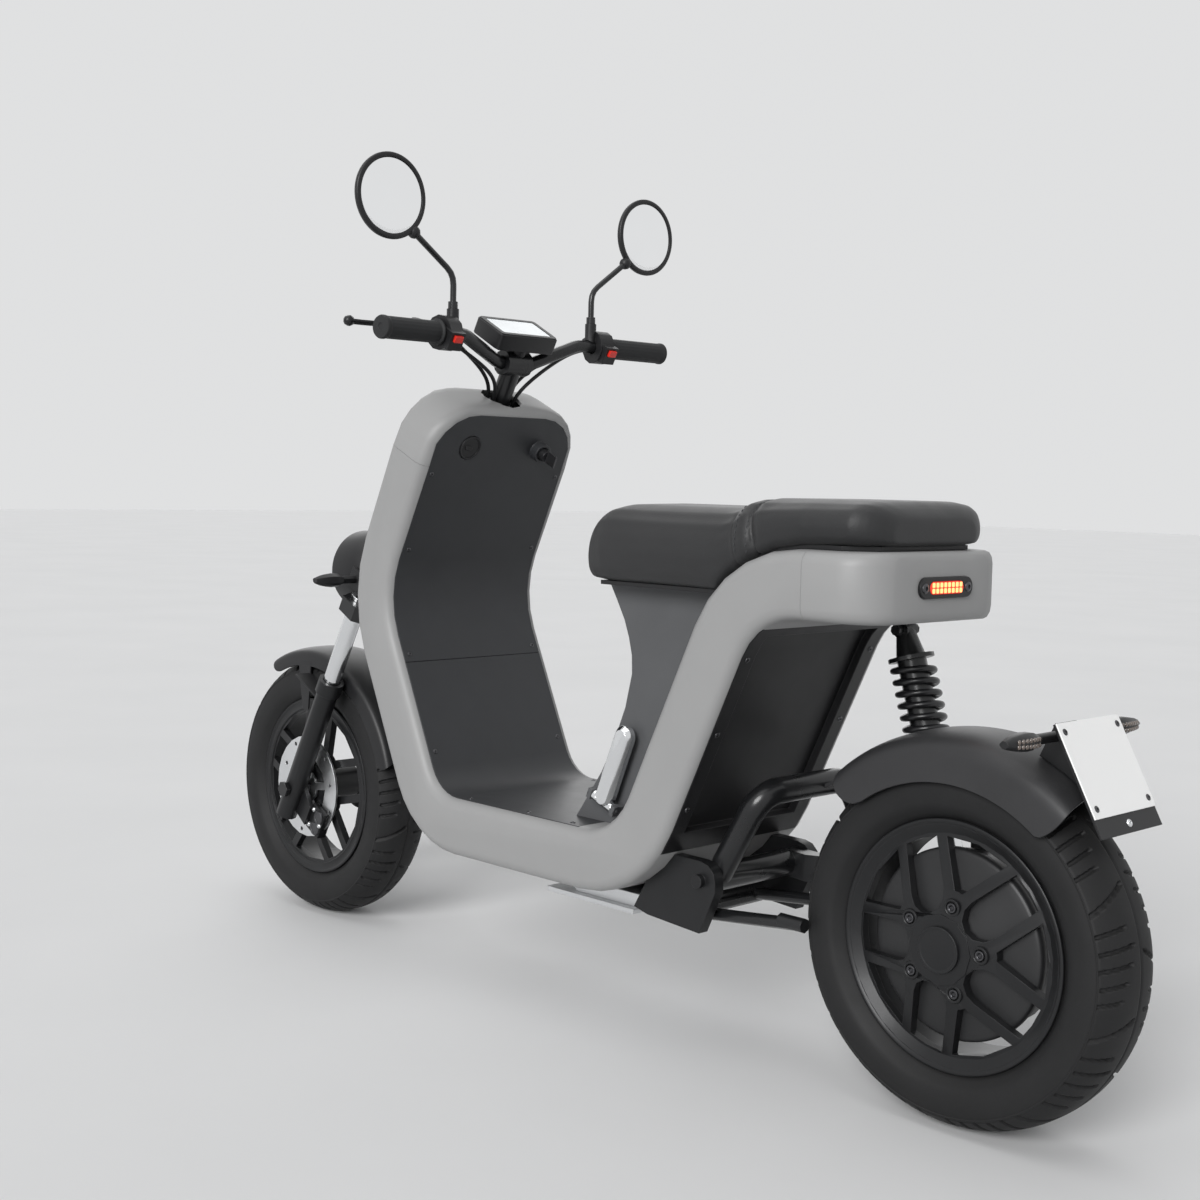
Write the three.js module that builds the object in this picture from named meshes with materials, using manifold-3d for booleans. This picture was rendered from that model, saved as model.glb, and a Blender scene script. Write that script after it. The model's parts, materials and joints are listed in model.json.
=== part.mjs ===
// Seated electric scooter in millimetres. X points forward, Y to the rider's left, Z up.
// Inside, X is measured from the rear axle; the finished group stands midway between the axles.
import * as THREE from 'three';
import { mergeVertices } from 'three/addons/utils/BufferGeometryUtils.js';
import Module from 'manifold-3d';

const wasm = await Module();
wasm.setup();

// Fits and overruns
const seatGap = 0.3;
const runningGap = 0.4;
const cutOverrun = 12;

// Counts of facets
const tyreFacets = 32;
const roundFacets = 12;
const smallFacets = 8;
const tubeSides = 8;
const lampFacets = 16;
const mirrorFacets = 16;
const discFacets = 24;
const cableSides = 6;

// Wheels, read as 12 inch with a 130/70 tyre behind and a 110/70 tyre in front
const wheelbase = 1430;
const tyreRadius = 243;
const rearTyreWidth = 130;
const frontTyreWidth = 110;
const crownBand = 56;
const tyreWaistShare = 0.45;
const tyreShoulderShares = [0.87, 0.83];
const tyreSectionHeight = 78;
const beadDrop = 13;
const rearRimInset = 32;
const frontRimInset = 26;
const flangeThickness = 5;
const barrelWall = 6;
const spokeCount = 5;
const spokeWidth = 15;
const spokeDepth = 13;
const spokeSpread = THREE.MathUtils.degToRad(22.5);
const lugTurn = THREE.MathUtils.degToRad(32);
const lugCircleRadius = 58;
const lugRadius = 21;
const hubFaceRadius = 47;
const hubCapRadius = 30;
const hubCapRise = 4;
const hubFaceRise = 1.5;
const hubFaceOut = 70;
const spokeRimOut = 41;
const boltHoleRadius = 8;
const boltHoleDepth = 6;
const discSeat = 6;
const windowFillet = 4;

// Body ribbon: one band that forms leg shield, floor, seat post and tail
const ribbonThickness = 93;
const ribbonWidth = 330;
const ribbonEdgeRound = 18;
const shellWall = 6;
const bodyLean = THREE.MathUtils.degToRad(25);
const floorAboveAxle = 26.2;
const kneeRise = 360;
const shieldRise = 338;
const shieldAhead = 1.6;
const rearCornerAhead = 109;
const tailRise = 432;
const tailEndX = 60;
const kneeRound = 196;
const frontCornerRound = 118;
const rearCornerRound = 153;
const tailCornerRound = 146;
const topSeamDistance = 110;
const tailSeamX = 168;
const topCornerRound = 95;
const tailPlanRound = 75;
const tailEdgeRound = 12;

// Panels let into the ribbon
const panelThickness = 3;
const panelHalfWidth = 150;
const panelLedge = 22;
const panelTopInset = 16;
const panelCornerRound = 78;
const panelJointDrop = 106;
const floorPanelEndAhead = 109;
const rearPanelFootRise = 32;
const rearPanelTopDrop = 64;
const rearPanelRecess = 12;

// Steering, measured square to and along the tilted steering axis from the front axle's foot on it
const rake = THREE.MathUtils.degToRad(28);
const forkOffset = 78;
const stemRadius = 17;
const headTubeRadius = 25;
const frameWebHalf = 12;
const headTubeGap = 9;
const headTubeUnder = 62;
const stemHoleRadius = 36;
const crownClearance = 45;
const crownThickness = 28;
const stanchionRadius = 16;
const stanchionRise = 36;
const stanchionLow = 120;
const sliderWall = 4;
const sliderCollarRim = 4;
const sliderCollarHeight = 26;
const sliderTop = 242;
const sliderFoot = 60;
const axleRadius = 9;
const axleHeadRadius = 15;
const axleHeadLength = 9;
const forkTravel = 80;

// Handlebar and what it carries, in the same tilted measures
const barRadius = 11;
const barAboveShield = 63;
const barEndRise = 51;
const barEndBack = 22;
const barRise = 43;
const barRiseInset = 31;
const barFlatHalf = 34;
const barSpan = 616;
const gripRadius = 17;
const gripLength = 122;
const gripFlangeRadius = 21;
const gripFlangeWidth = 5;
const clampLength = 52;
const clampRadius = 21;
const podLength = 27;
const podRadius = 28;
const podGap = 3;
const podBoxHeight = 30;
const podBoxDepth = 34;
const podArmLength = 26;
const redSwitchLength = 16;
const redSwitchHeight = 11;
const redSwitchDepth = 9;
const redSwitchTravel = 3;
const leverReach = 128;
const leverForward = 44;
const leverDrop = 6;
const leverRadius = 5;
const leverBallRadius = 9;
const leverPerchRadius = 13;
const leverPerchHeight = 15;
const displayWidth = 126;
const displayDepth = 74;
const displayHeight = 28;
const displayForward = 18;
const displayGap = 3.3;
const displayCorner = 8;
const displayFootRadius = 14;

// Mirrors
const mirrorStemRadius = 5;
const mirrorStemInset = 4;
const mirrorRiseHeight = 54;
const mirrorArmOut = 80;
const mirrorArmUp = 57;
const mirrorBallRadius = 8;
const mirrorRadius = 66;
const mirrorDepth = 20;
const mirrorGlassInset = 3;
const mirrorNutRadius = 10;
const mirrorNutHeight = 22;
const mirrorOutShare = 0.712;
const mirrorUpShare = 0.758;
const mirrorForward = -6;

// Cables from the pods down into the top of the leg shield
const cableRadius = 3.2;
const cableCollarRadius = 31;
const cableCollarHeight = 12;
const cableCollarUnder = 16;

// Headlamp and front indicators
const lampRadius = 72;
const lampLength = 112;
const lampBackRadius = 34;
const lampForward = 92;
const lampAboveCrown = 73;
const lampLensInset = 5;
const lampLensBulge = 10;
const lampEarThickness = 5;
const lampEarWidth = 34;
const indicatorStalkRadius = 7;
const indicatorStalkLength = 34;
const indicatorLength = 58;
const indicatorHeight = 22;
const indicatorDepth = 30;

// Front mudguard, brake disc and caliper
const frontGuardGap = 20;
const frontGuardSide = 6;
const guardWall = 3;
const frontGuardSkirt = 34;
const frontGuardStart = THREE.MathUtils.degToRad(34);
const frontGuardEnd = THREE.MathUtils.degToRad(137);
const guardTabWidth = 40;
const guardTabReach = 128;
const guardStayHeight = 24;
const discRadius = 95;
const discBore = 60;
const discThickness = 4;
const discGap = 9;
const discHoleRadius = 4.5;
const discHoleCount = 10;
const discHoleCircle = 80;
const discArmWidth = 14;
const hubRadius = 32;
const caliperLength = 74;
const caliperHeight = 54;
const caliperWidth = 19;
const caliperBackShare = 0.674;
const caliperDropShare = 0.316;

// Seat
const seatNoseAhead = 32;
const seatRearX = 74;
const seatBaseDrop = 22;
const seatBaseThickness = 6;
const seatFrontRise = 114;
const seatRearRise = 129;
const seatHalfWidth = 155;
const seatSeamX = 276;
const seatSeamSlant = 18;
const seatNoseLength = 78;
const seatTailLength = 36;
const seatPlanNose = 72;
const seatPlanTail = 76;
const seatStepLength = 34;
const seatChannelDepth = 4;
const seatChannelWidth = 7;
const seatCrown = 5;
const seatHingeRadius = 9;
const hingePinRadius = 3.5;
const earNoseShare = 0.58;

// Seat post cover, battery and folding footpegs
const coverHalfWidth = 96;
const coverWall = 3.5;
const coverTopAhead = 50;
const coverWaistBack = 114;
const coverWaistShare = 0.676;
const coverFootAhead = 171;
const batteryFrontGap = 41.5;
const batterySide = 12.5;
const batteryFootRise = 84;
const batteryTopDrop = 38;
const batteryHandleHeight = 22;
const batteryHandleThickness = 12;
const pegLength = 138;
const pegWidth = 44;
const pegThickness = 22;
const pegHingeBack = 78;
const pegHingeRise = 82;
const pegHingeRadius = 8;
const pegOut = 17;
const pegLean = THREE.MathUtils.degToRad(22);

// Belly, skid tray and centre stand
const pivotAhead = 77;
const pivotTubeRadius = 20;
const pivotShaftRadius = 10;
const pivotHalfWidth = 99;
const bellyPlate = 18;
const bellyFrontAhead = 56;
const bellyDepth = 29.5;
const bellyEarRadius = 28;
const trayLength = 188;
const trayHalfWidth = 118;
const trayHeight = 20;
const trayInset = 26;
const skidThickness = 8;
const standAhead = 74;
const standPivotRise = 14;
const standTubeRadius = 9;
const standBossRadius = 16;
const standClearance = 4;
const standLegGap = 15;
const standLegLength = 226;
const standRise = 24;
const standFootLength = 34;

// Rear suspension
const armBeamGap = 21;
const armBeamWidth = 40;
const armBeamHeight = 48;
const hoopRadius = 18;
const hoopGap = 16;
const hoopUnderGuard = 42;
const hoopInset = 19;
const hoopBend = 34;
const hoopLandBack = 73;
const shockTopBehind = 77;
const shockTopGap = 12.5;
const shockLowX = 104;
const shockLowRise = 58.2;
const shockEyeRadius = 13;
const shockEyeWidth = 24;
const springBodyGap = 7;
const shockRodRadius = 8;
const springSeatRim = 5;
const shockSeatThickness = 6;
const springRadius = 28;
const springWire = 4.6;
const springTurns = 8;
const springSteps = 8;
const springWireSides = 5;
const shockLugThickness = 8;
const springLowShare = 0.2;
const springHighShare = 0.87;
const shockBodyShare = 0.42;
const shockStrokeShare = 0.36;
const shockRodShare = 0.56;

// Hub motor
const motorGap = 34;
const motorHalfWidth = 42;
const motorShoulder = 14;
const motorConeRim = 12;
const motorNoseInset = 14;
const motorAxleRadius = 11;

// Rear mudguard and number plate bracket
const rearGuardGap = 36;
const rearGuardSide = 10;
const rearGuardSkirt = 64;
const rearGuardStart = THREE.MathUtils.degToRad(46);
const rearGuardEnd = THREE.MathUtils.degToRad(131);
const rearGuardSteps = 11;
const frontGuardSteps = 11;
const plateWidth = 146;
const plateHeight = 122;
const plateThickness = 2;
const plateOut = 34.4;
const plateAngle = THREE.MathUtils.degToRad(125.5);
const plateLean = THREE.MathUtils.degToRad(28);
const bracketThickness = 3;
const bracketFoot = 24;
const wedgeStart = THREE.MathUtils.degToRad(112);
const wedgeEnd = THREE.MathUtils.degToRad(129);
const wedgeSteps = 2;
const rearIndicatorOut = 40.6;
const rearIndicatorAngle = THREE.MathUtils.degToRad(115.2);
const rearIndicatorStart = 88;
const rearIndicatorLength = 68;

// Tail lamp, charge cover and key lock
const tailLampWidth = 120;
const tailLampHeight = 28;
const tailLampDepth = 11;
const tailLampProud = 4;
const tailLensWidth = 76;
const tailLensHeight = 17;
const tailLensDepth = 5;
const coverDiscRadius = 21;
const coverDiscThickness = 2.4;
const coverDiscAt = 74;
const lockAt = 76;
const lockDrop = 86;
const lockHousingRadius = 17;
const lockHousingLength = 16;
const lockBarrelRadius = 11;
const lockBarrelLength = 12;
const keyWidth = 20;
const keyHeight = 22;
const keyThickness = 3;

// A flat facet of each tyre lies level on the ground.
const rearTurn = Math.PI / 2;
const frontTurn = Math.PI / 2 - rake;

// Heights and places that follow from the sizes above
const axleHeight = tyreRadius * Math.cos(Math.PI / tyreFacets);
const floorMidHeight = axleHeight + floorAboveAxle;
const kneeHeight = floorMidHeight + kneeRise;
const shieldTopHeight = kneeHeight + shieldRise;
const tailMidHeight = floorMidHeight + tailRise;
const halfThickness = ribbonThickness / 2;
const halfRibbon = ribbonWidth / 2;
const sliderRadius = stanchionRadius + sliderWall;
const sliderCollarRadius = sliderRadius + sliderCollarRim;
const frontRimWidth = frontTyreWidth - frontRimInset;
const rearRimWidth = rearTyreWidth - rearRimInset;
const rimFlangeRadius = tyreRadius - tyreSectionHeight;
const beadSeatRadius = rimFlangeRadius - beadDrop;
const windowRadius = beadSeatRadius - barrelWall - windowFillet;
const motorRadius = beadSeatRadius - motorGap;
const frontGuardRadius = tyreRadius + frontGuardGap;
const frontGuardHalfWidth = frontTyreWidth / 2 + frontGuardSide;
const rearGuardRadius = tyreRadius + rearGuardGap;
const rearGuardHalfWidth = rearTyreWidth / 2 + rearGuardSide;
const legAt = frontGuardHalfWidth + sliderCollarRadius;
const discOut = legAt - sliderRadius - discGap;
const frontHubOut = discOut - discSeat;
const crownLow = frontGuardRadius + forkTravel + crownClearance;
const stanchionTop = crownLow + stanchionRise;
const headTubeLow = crownLow + crownThickness + headTubeGap;
const caliperBack = discRadius * caliperBackShare;
const caliperDrop = discRadius * caliperDropShare;
const axleFoot = new THREE.Vector3(
  wheelbase - forkOffset * Math.cos(rake), 0, axleHeight - forkOffset * Math.sin(rake));
const shieldTopUp = (shieldTopHeight - axleFoot.z) / Math.cos(rake);
const shieldTopX = axleFoot.x - (shieldTopHeight - axleFoot.z) * Math.tan(rake) + shieldAhead;
const frontCornerX = shieldTopX - (2 * kneeHeight - floorMidHeight - shieldTopHeight) * Math.tan(bodyLean);
const hoopX = rearGuardRadius + hoopGap;
const hoopHeight = axleHeight + rearGuardRadius * Math.sin(rearGuardStart) - hoopUnderGuard;
const hoopLandX = hoopX - hoopLandBack;
const hoopLeftAt = pivotHalfWidth - hoopInset;
const pivotX = hoopX + pivotAhead;
const pivotHeight = floorMidHeight;
const rearCornerX = pivotX + rearCornerAhead;
const tailCornerX = rearCornerX - (tailMidHeight - floorMidHeight) * Math.tan(bodyLean);
const floorPanelEndX = rearCornerX + floorPanelEndAhead;
const bellyLow = floorMidHeight - halfThickness - bellyDepth;
const standPivotX = pivotX + standAhead;
const standPivotHeight = bellyLow + standPivotRise;
const bellyFrontX = standPivotX + bellyFrontAhead;
const trayFrontX = bellyFrontX + trayLength;
const armBeamAt = rearGuardHalfWidth + armBeamWidth / 2 + armBeamGap;
const standLegAt = rearTyreWidth / 2 + standLegGap;
const coverFootX = rearCornerX + coverFootAhead;
const coverWaistX = coverFootX - coverWaistBack;
const coverTopX = coverWaistX + coverTopAhead;
const seatFrontX = coverTopX + seatNoseAhead;
const pegHingeX = coverFootX - pegHingeBack;
const batteryHalfWidth = coverHalfWidth - coverWall - batterySide;
const shockBodyRadius = springRadius - springBodyGap;
const shockSeatRadius = springRadius + springSeatRim;
const shockLowHeight = axleHeight + shockLowRise;
const shockTopX = tailCornerX - shockTopBehind;
const plateX = (rearGuardRadius + plateOut) * Math.cos(plateAngle);
const plateMidHeight = axleHeight + (rearGuardRadius + plateOut) * Math.sin(plateAngle);
const rearIndicatorX = (rearGuardRadius + rearIndicatorOut) * Math.cos(rearIndicatorAngle);
const rearIndicatorHeight = axleHeight + (rearGuardRadius + rearIndicatorOut) * Math.sin(rearIndicatorAngle);
const headTubeHigh = shieldTopUp - headTubeUnder;
const cableCollarUp = shieldTopUp - cableCollarUnder;
const barCentreUp = shieldTopUp + barAboveShield;
const gripEnd = barSpan / 2;
const gripStart = gripEnd - gripLength;
const podEnd = gripStart - podGap;
const podStart = podEnd - podLength;
const barRiseAt = podStart - barRiseInset;
const mirrorStemAt = podStart - mirrorStemInset;
const displayUp = barCentreUp + barRise * (displayWidth / 2 - barFlatHalf) / (barRiseAt - barFlatHalf)
  + barRadius + displayGap;
const mirrorOut = mirrorRadius * mirrorOutShare;
const mirrorUp = mirrorRadius * mirrorUpShare;
const barRiseUp = barCentreUp + barRise;
const barEndUp = barCentreUp + barEndRise;
const lockHeight = shieldTopHeight - lockDrop;
const panelJointHeight = kneeHeight - panelJointDrop;
const rearPanelLowHeight = floorMidHeight + rearPanelFootRise;
const rearPanelHighHeight = tailMidHeight - rearPanelTopDrop;
const seatBaseHeight = tailMidHeight - seatBaseDrop;
const seatFrontTop = seatBaseHeight + seatFrontRise;
const seatRearTop = seatBaseHeight + seatRearRise;
const coverWaistHeight = floorMidHeight + (seatBaseHeight - floorMidHeight) * coverWaistShare;
const batteryLow = floorMidHeight + batteryFootRise;
const batteryHigh = seatBaseHeight - batteryTopDrop;
const pegHingeHeight = floorMidHeight + pegHingeRise;
const shockTopHeight = tailMidHeight - halfThickness - shockEyeRadius - shockTopGap;

function material(color, roughness, metalness) {
  return new THREE.MeshStandardMaterial({ color, roughness, metalness });
}

const paint = material(0x9c9c9c, 0.42, 0.1);
const satinBlack = material(0x26272a, 0.45, 0.2);
const panelBlack = material(0x33353a, 0.5, 0.15);
const midGrey = material(0x55585c, 0.55, 0.1);
const vinyl = material(0x2f3033, 0.75, 0);
const rubber = material(0x1d1e20, 0.85, 0);
const alloyBlack = material(0x2b2c2f, 0.38, 0.6);
const chrome = material(0xe2e4e6, 0.14, 1);
const brushed = material(0xc4c6c8, 0.32, 0.95);
const plateWhite = material(0xf2f2f0, 0.5, 0);
const redPlastic = material(0xd8261c, 0.4, 0);
const redLens = material(0xff4a30, 0.2, 0);
const clearLens = material(0xdfe4e8, 0.1, 0);
const mirrorGlass = material(0xf6f8fa, 0.05, 1);
const steelDark = material(0x3a3b3e, 0.5, 0.7);

// A closed mesh becomes a solid for joining and cutting.
function solid(geometry) {
  const plain = geometry.index ? geometry.toNonIndexed() : geometry.clone();
  for (const name of Object.keys(plain.attributes)) if (name !== 'position') plain.deleteAttribute(name);
  const merged = mergeVertices(plain, 1e-3);
  const triangles = [];
  const index = merged.index.array;
  for (let i = 0; i < index.length; i += 3) {
    const [a, b, c] = [index[i], index[i + 1], index[i + 2]];
    if (a !== b && b !== c && c !== a) triangles.push(a, b, c);
  }
  return new wasm.Manifold(new wasm.Mesh({
    numProp: 3,
    vertProperties: new Float32Array(merged.attributes.position.array),
    triVerts: new Uint32Array(triangles),
  }));
}

function geometryOf(body) {
  const mesh = body.getMesh();
  const places = [];
  for (let i = 0; i < mesh.vertProperties.length; i += mesh.numProp) {
    places.push(mesh.vertProperties[i], mesh.vertProperties[i + 1], mesh.vertProperties[i + 2]);
  }
  const geometry = new THREE.BufferGeometry();
  geometry.setAttribute('position', new THREE.BufferAttribute(new Float32Array(places), 3));
  geometry.setIndex(new THREE.BufferAttribute(new Uint32Array(mesh.triVerts), 1));
  geometry.computeVertexNormals();
  return geometry;
}

function join(...parts) {
  return parts.reduce((whole, part) => whole.add(part));
}

function cut(whole, ...tools) {
  return tools.reduce((left, tool) => left.subtract(tool), whole);
}

// A solid is tipped about the Y axis, then carried to its place.
function tipped(shape, angle, x, y, z) {
  const turn = new THREE.Matrix4().makeRotationY(angle);
  return solid(geometryOf(shape).applyMatrix4(turn).translate(x, y, z));
}

function moved(shape, x, y, z) {
  return tipped(shape, 0, x, y, z);
}

// Basic solids. A cylinder runs along the given unit direction from its start point.
function placed(geometry, x, y, z) {
  return solid(geometry.translate(x, y, z));
}

function block(lowX, highX, lowY, highY, lowZ, highZ) {
  const geometry = new THREE.BoxGeometry(highX - lowX, highY - lowY, highZ - lowZ);
  return placed(geometry, (lowX + highX) / 2, (lowY + highY) / 2, (lowZ + highZ) / 2);
}

function rod(start, direction, length, radius, facets = roundFacets, endRadius = radius) {
  const geometry = new THREE.CylinderGeometry(endRadius, radius, length, facets);
  geometry.translate(0, length / 2, 0);
  geometry.applyQuaternion(new THREE.Quaternion().setFromUnitVectors(
    new THREE.Vector3(0, 1, 0), direction.clone().normalize()));
  geometry.translate(start.x, start.y, start.z);
  return solid(geometry);
}

// The corner radius of a faceted hole whose flats clear a shaft of the given radius
function holeFor(shaftRadius, gap, facets = roundFacets) {
  return (shaftRadius + gap) / Math.cos(Math.PI / facets);
}

function rodBetween(start, end, radius, facets = roundFacets) {
  const span = end.clone().sub(start);
  return rod(start, span, span.length(), radius, facets);
}

const along = {
  x: new THREE.Vector3(1, 0, 0),
  y: new THREE.Vector3(0, 1, 0),
  z: new THREE.Vector3(0, 0, 1),
};

function point(x, y, z) {
  return new THREE.Vector3(x, y, z);
}

function ball(centre, radius) {
  return placed(new THREE.SphereGeometry(radius, smallFacets, smallFacets / 2), centre.x, centre.y, centre.z);
}

// An outline in the side view, given as [x, z] pairs, is drawn out from lowY to highY.
function sidePrism(outline, lowY, highY) {
  const shape = new THREE.Shape(outline.map(([x, z]) => new THREE.Vector2(x, z)));
  const geometry = new THREE.ExtrudeGeometry(shape, { depth: highY - lowY, bevelEnabled: false });
  geometry.rotateX(Math.PI / 2);
  geometry.translate(0, highY, 0);
  return solid(geometry);
}

// An outline in plan, given as [x, y] pairs, is drawn up from lowZ to highZ.
function planPrism(outline, lowZ, highZ) {
  const shape = new THREE.Shape(outline.map(([x, y]) => new THREE.Vector2(x, y)));
  const geometry = new THREE.ExtrudeGeometry(shape, { depth: highZ - lowZ, bevelEnabled: false });
  geometry.translate(0, 0, lowZ);
  return solid(geometry);
}

function roundedRectangle(width, height, radius, steps) {
  const corners = [[1, 1, 0], [-1, 1, 1], [-1, -1, 2], [1, -1, 3]];
  return corners.flatMap(([sideX, sideY, quarter]) => arcPoints(
    sideX * (width / 2 - radius), sideY * (height / 2 - radius), radius,
    quarter * Math.PI / 2, (quarter + 1) * Math.PI / 2, steps));
}

function arcPoints(centreX, centreY, radius, start, end, steps) {
  return Array.from({ length: steps + 1 }, (_, i) => {
    const angle = start + (end - start) * (steps ? i / steps : 0);
    return [centreX + radius * Math.cos(angle), centreY + radius * Math.sin(angle)];
  });
}

// Rings of points of equal count are skinned into one closed body with flat ends.
function skin(rings, closedLoop = false) {
  const size = rings[0].length;
  const places = rings.flat().flatMap((p) => [p.x, p.y, p.z]);
  const index = [];
  const spans = closedLoop ? rings.length : rings.length - 1;
  for (let i = 0; i < spans; i += 1) {
    const here = i * size;
    const next = ((i + 1) % rings.length) * size;
    for (let j = 0; j < size; j += 1) {
      const k = (j + 1) % size;
      index.push(here + j, next + j, next + k, here + j, next + k, here + k);
    }
  }
  if (!closedLoop) {
    const last = (rings.length - 1) * size;
    for (let j = 1; j < size - 1; j += 1) {
      index.push(0, j, j + 1);
      index.push(last, last + j + 1, last + j);
    }
  }
  const geometry = new THREE.BufferGeometry();
  geometry.setAttribute('position', new THREE.BufferAttribute(new Float32Array(places), 3));
  geometry.setIndex(index);
  const body = solid(geometry);
  if (body.volume() > 0) return body;
  const flipped = [];
  for (let i = 0; i < index.length; i += 3) flipped.push(index[i], index[i + 2], index[i + 1]);
  geometry.setIndex(flipped);
  return solid(geometry);
}

// A profile of [radius, across] pairs is turned about a line along Y through the centre.
function turnedAcross(profile, facets, centre = point(0, 0, 0), turn = Math.PI / 2) {
  const rings = Array.from({ length: facets }, (_, i) => {
    const angle = turn + (i + 0.5) * 2 * Math.PI / facets;
    return profile.map(([radius, across]) => point(
      centre.x + radius * Math.cos(angle), centre.y + across, centre.z + radius * Math.sin(angle)));
  });
  return skin(rings, true);
}

// A profile of [radius, along] pairs that starts and ends on the axis is turned about that axis.
function turned(profile, start, direction, facets) {
  const geometry = new THREE.LatheGeometry(profile.map(([r, a]) => new THREE.Vector2(r, a)), facets);
  geometry.applyQuaternion(new THREE.Quaternion().setFromUnitVectors(along.y, direction.clone().normalize()));
  geometry.translate(start.x, start.y, start.z);
  return solid(geometry);
}

// A round tube follows a smooth curve through its points.
function tube(points, radius, steps, sides = tubeSides, tension = 0.5) {
  const curve = new THREE.CatmullRomCurve3(points, false, 'catmullrom', tension);
  const shape = new THREE.Shape();
  shape.absarc(0, 0, radius, 0, 2 * Math.PI, false);
  const ring = new THREE.Shape(shape.getPoints(sides).slice(0, sides));
  return solid(new THREE.ExtrudeGeometry(ring, { steps, extrudePath: curve }));
}

// Straight runs with a rounded bend at each inner point.
function bentTube(points, radius, bend, bendSteps, sides = tubeSides) {
  const path = new THREE.CurvePath();
  let from = points[0];
  for (let i = 1; i < points.length - 1; i += 1) {
    const before = points[i].clone().sub(points[i - 1]).normalize().multiplyScalar(bend);
    const after = points[i + 1].clone().sub(points[i]).normalize().multiplyScalar(bend);
    const enter = points[i].clone().sub(before);
    const leave = points[i].clone().add(after);
    path.add(new THREE.LineCurve3(from, enter));
    path.add(new THREE.QuadraticBezierCurve3(enter, points[i], leave));
    from = leave;
  }
  path.add(new THREE.LineCurve3(from, points[points.length - 1]));
  const places = [path.curves[0].getPoint(0)];
  for (const curve of path.curves) {
    const steps = curve.isLineCurve3 ? 1 : bendSteps;
    for (let i = 1; i <= steps; i += 1) places.push(curve.getPoint(i / steps));
  }
  return solid(tubeThrough(places, radius, sides));
}

// Rings square to a line of points, with the section carried along without twist.
function tubeThrough(places, radius, sides) {
  const tangents = places.map((p, i) => {
    const ahead = places[Math.min(i + 1, places.length - 1)];
    const behind = places[Math.max(i - 1, 0)];
    return ahead.clone().sub(behind).normalize();
  });
  const first = Math.abs(tangents[0].z) < 0.9 ? along.z : along.x;
  let side = first.clone().cross(tangents[0]).normalize();
  const rings = places.map((place, i) => {
    side = side.clone().addScaledVector(tangents[i], -side.dot(tangents[i])).normalize();
    const up = tangents[i].clone().cross(side);
    return Array.from({ length: sides }, (_, j) => {
      const angle = j * 2 * Math.PI / sides;
      return place.clone()
        .addScaledVector(side, radius * Math.cos(angle)).addScaledVector(up, radius * Math.sin(angle));
    });
  });
  return geometryOf(skin(rings));
}

// The ribbon's middle line: corners joined by straights and fillets.
function ribbonLine() {
  const slope = Math.tan(bodyLean);
  const kneeX = frontCornerX + (kneeHeight - floorMidHeight) * slope;
  const corners = [
    [kneeX - (shieldTopHeight - kneeHeight) * slope, shieldTopHeight, 0, 0],
    [kneeX, kneeHeight, kneeRound, 4],
    [frontCornerX, floorMidHeight, frontCornerRound, 6],
    [rearCornerX, floorMidHeight, rearCornerRound, 6],
    [tailCornerX, tailMidHeight, tailCornerRound, 5],
    [tailEndX, tailMidHeight, 0, 0],
  ];
  const stations = [];
  corners.forEach(([x, z, radius, steps], i) => {
    if (!radius) {
      const other = corners[i === 0 ? 1 : i - 1];
      const sign = i === 0 ? 1 : -1;
      const span = new THREE.Vector2(other[0] - x, other[1] - z).normalize().multiplyScalar(sign);
      stations.push({ x, z, nx: span.y, nz: -span.x });
      return;
    }
    const into = new THREE.Vector2(x - corners[i - 1][0], z - corners[i - 1][1]).normalize();
    const out = new THREE.Vector2(corners[i + 1][0] - x, corners[i + 1][1] - z).normalize();
    const turn = Math.atan2(into.cross(out), into.dot(out));
    const reach = radius * Math.tan(Math.abs(turn) / 2);
    const side = Math.sign(turn);
    const startX = x - into.x * reach;
    const startZ = z - into.y * reach;
    const centreX = startX - into.y * side * radius;
    const centreZ = startZ + into.x * side * radius;
    for (let k = 0; k <= steps; k += 1) {
      const heading = Math.atan2(into.y, into.x) + turn * k / steps;
      const [tx, tz] = [Math.cos(heading), Math.sin(heading)];
      stations.push({
        x: centreX + tz * side * radius, z: centreZ - tx * side * radius, nx: tz, nz: -tx,
      });
    }
  });
  let distance = 0;
  stations.forEach((station, i) => {
    if (i) distance += Math.hypot(station.x - stations[i - 1].x, station.z - stations[i - 1].z);
    station.s = distance;
  });
  return stations;
}

const ribbon = ribbonLine();
const ribbonEnd = ribbon[ribbon.length - 1].s;

function ribbonAt(s) {
  const last = ribbon.length - 1;
  let i = ribbon.findIndex((station) => station.s >= s);
  if (i < 0) i = last;
  if (i === 0) i = 1;
  const [a, b] = [ribbon[i - 1], ribbon[i]];
  const share = (s - a.s) / (b.s - a.s);
  const mix = (p, q) => p + (q - p) * share;
  return { s, x: mix(a.x, b.x), z: mix(a.z, b.z), nx: mix(a.nx, b.nx), nz: mix(a.nz, b.nz) };
}

// Stations from one distance to another, with any extra distances in between.
function ribbonSpan(start, end, extra = []) {
  const inner = ribbon.filter((station) => station.s > start + seatGap && station.s < end - seatGap);
  const more = extra.filter((s) => s > start && s < end).map(ribbonAt);
  return [ribbonAt(start), ...[...inner, ...more].sort((a, b) => a.s - b.s), ribbonAt(end)];
}

// The distance at which the middle line, or a line offset from it, first passes a level.
function ribbonWhere(test, from = 0, step = ribbonThickness / 60) {
  for (let s = from; s <= ribbonEnd; s += step) if (test(ribbonAt(s))) return s;
  return ribbonEnd;
}

function onRibbon(station, out) {
  return [station.x + station.nx * out, station.z + station.nz * out];
}

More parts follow.
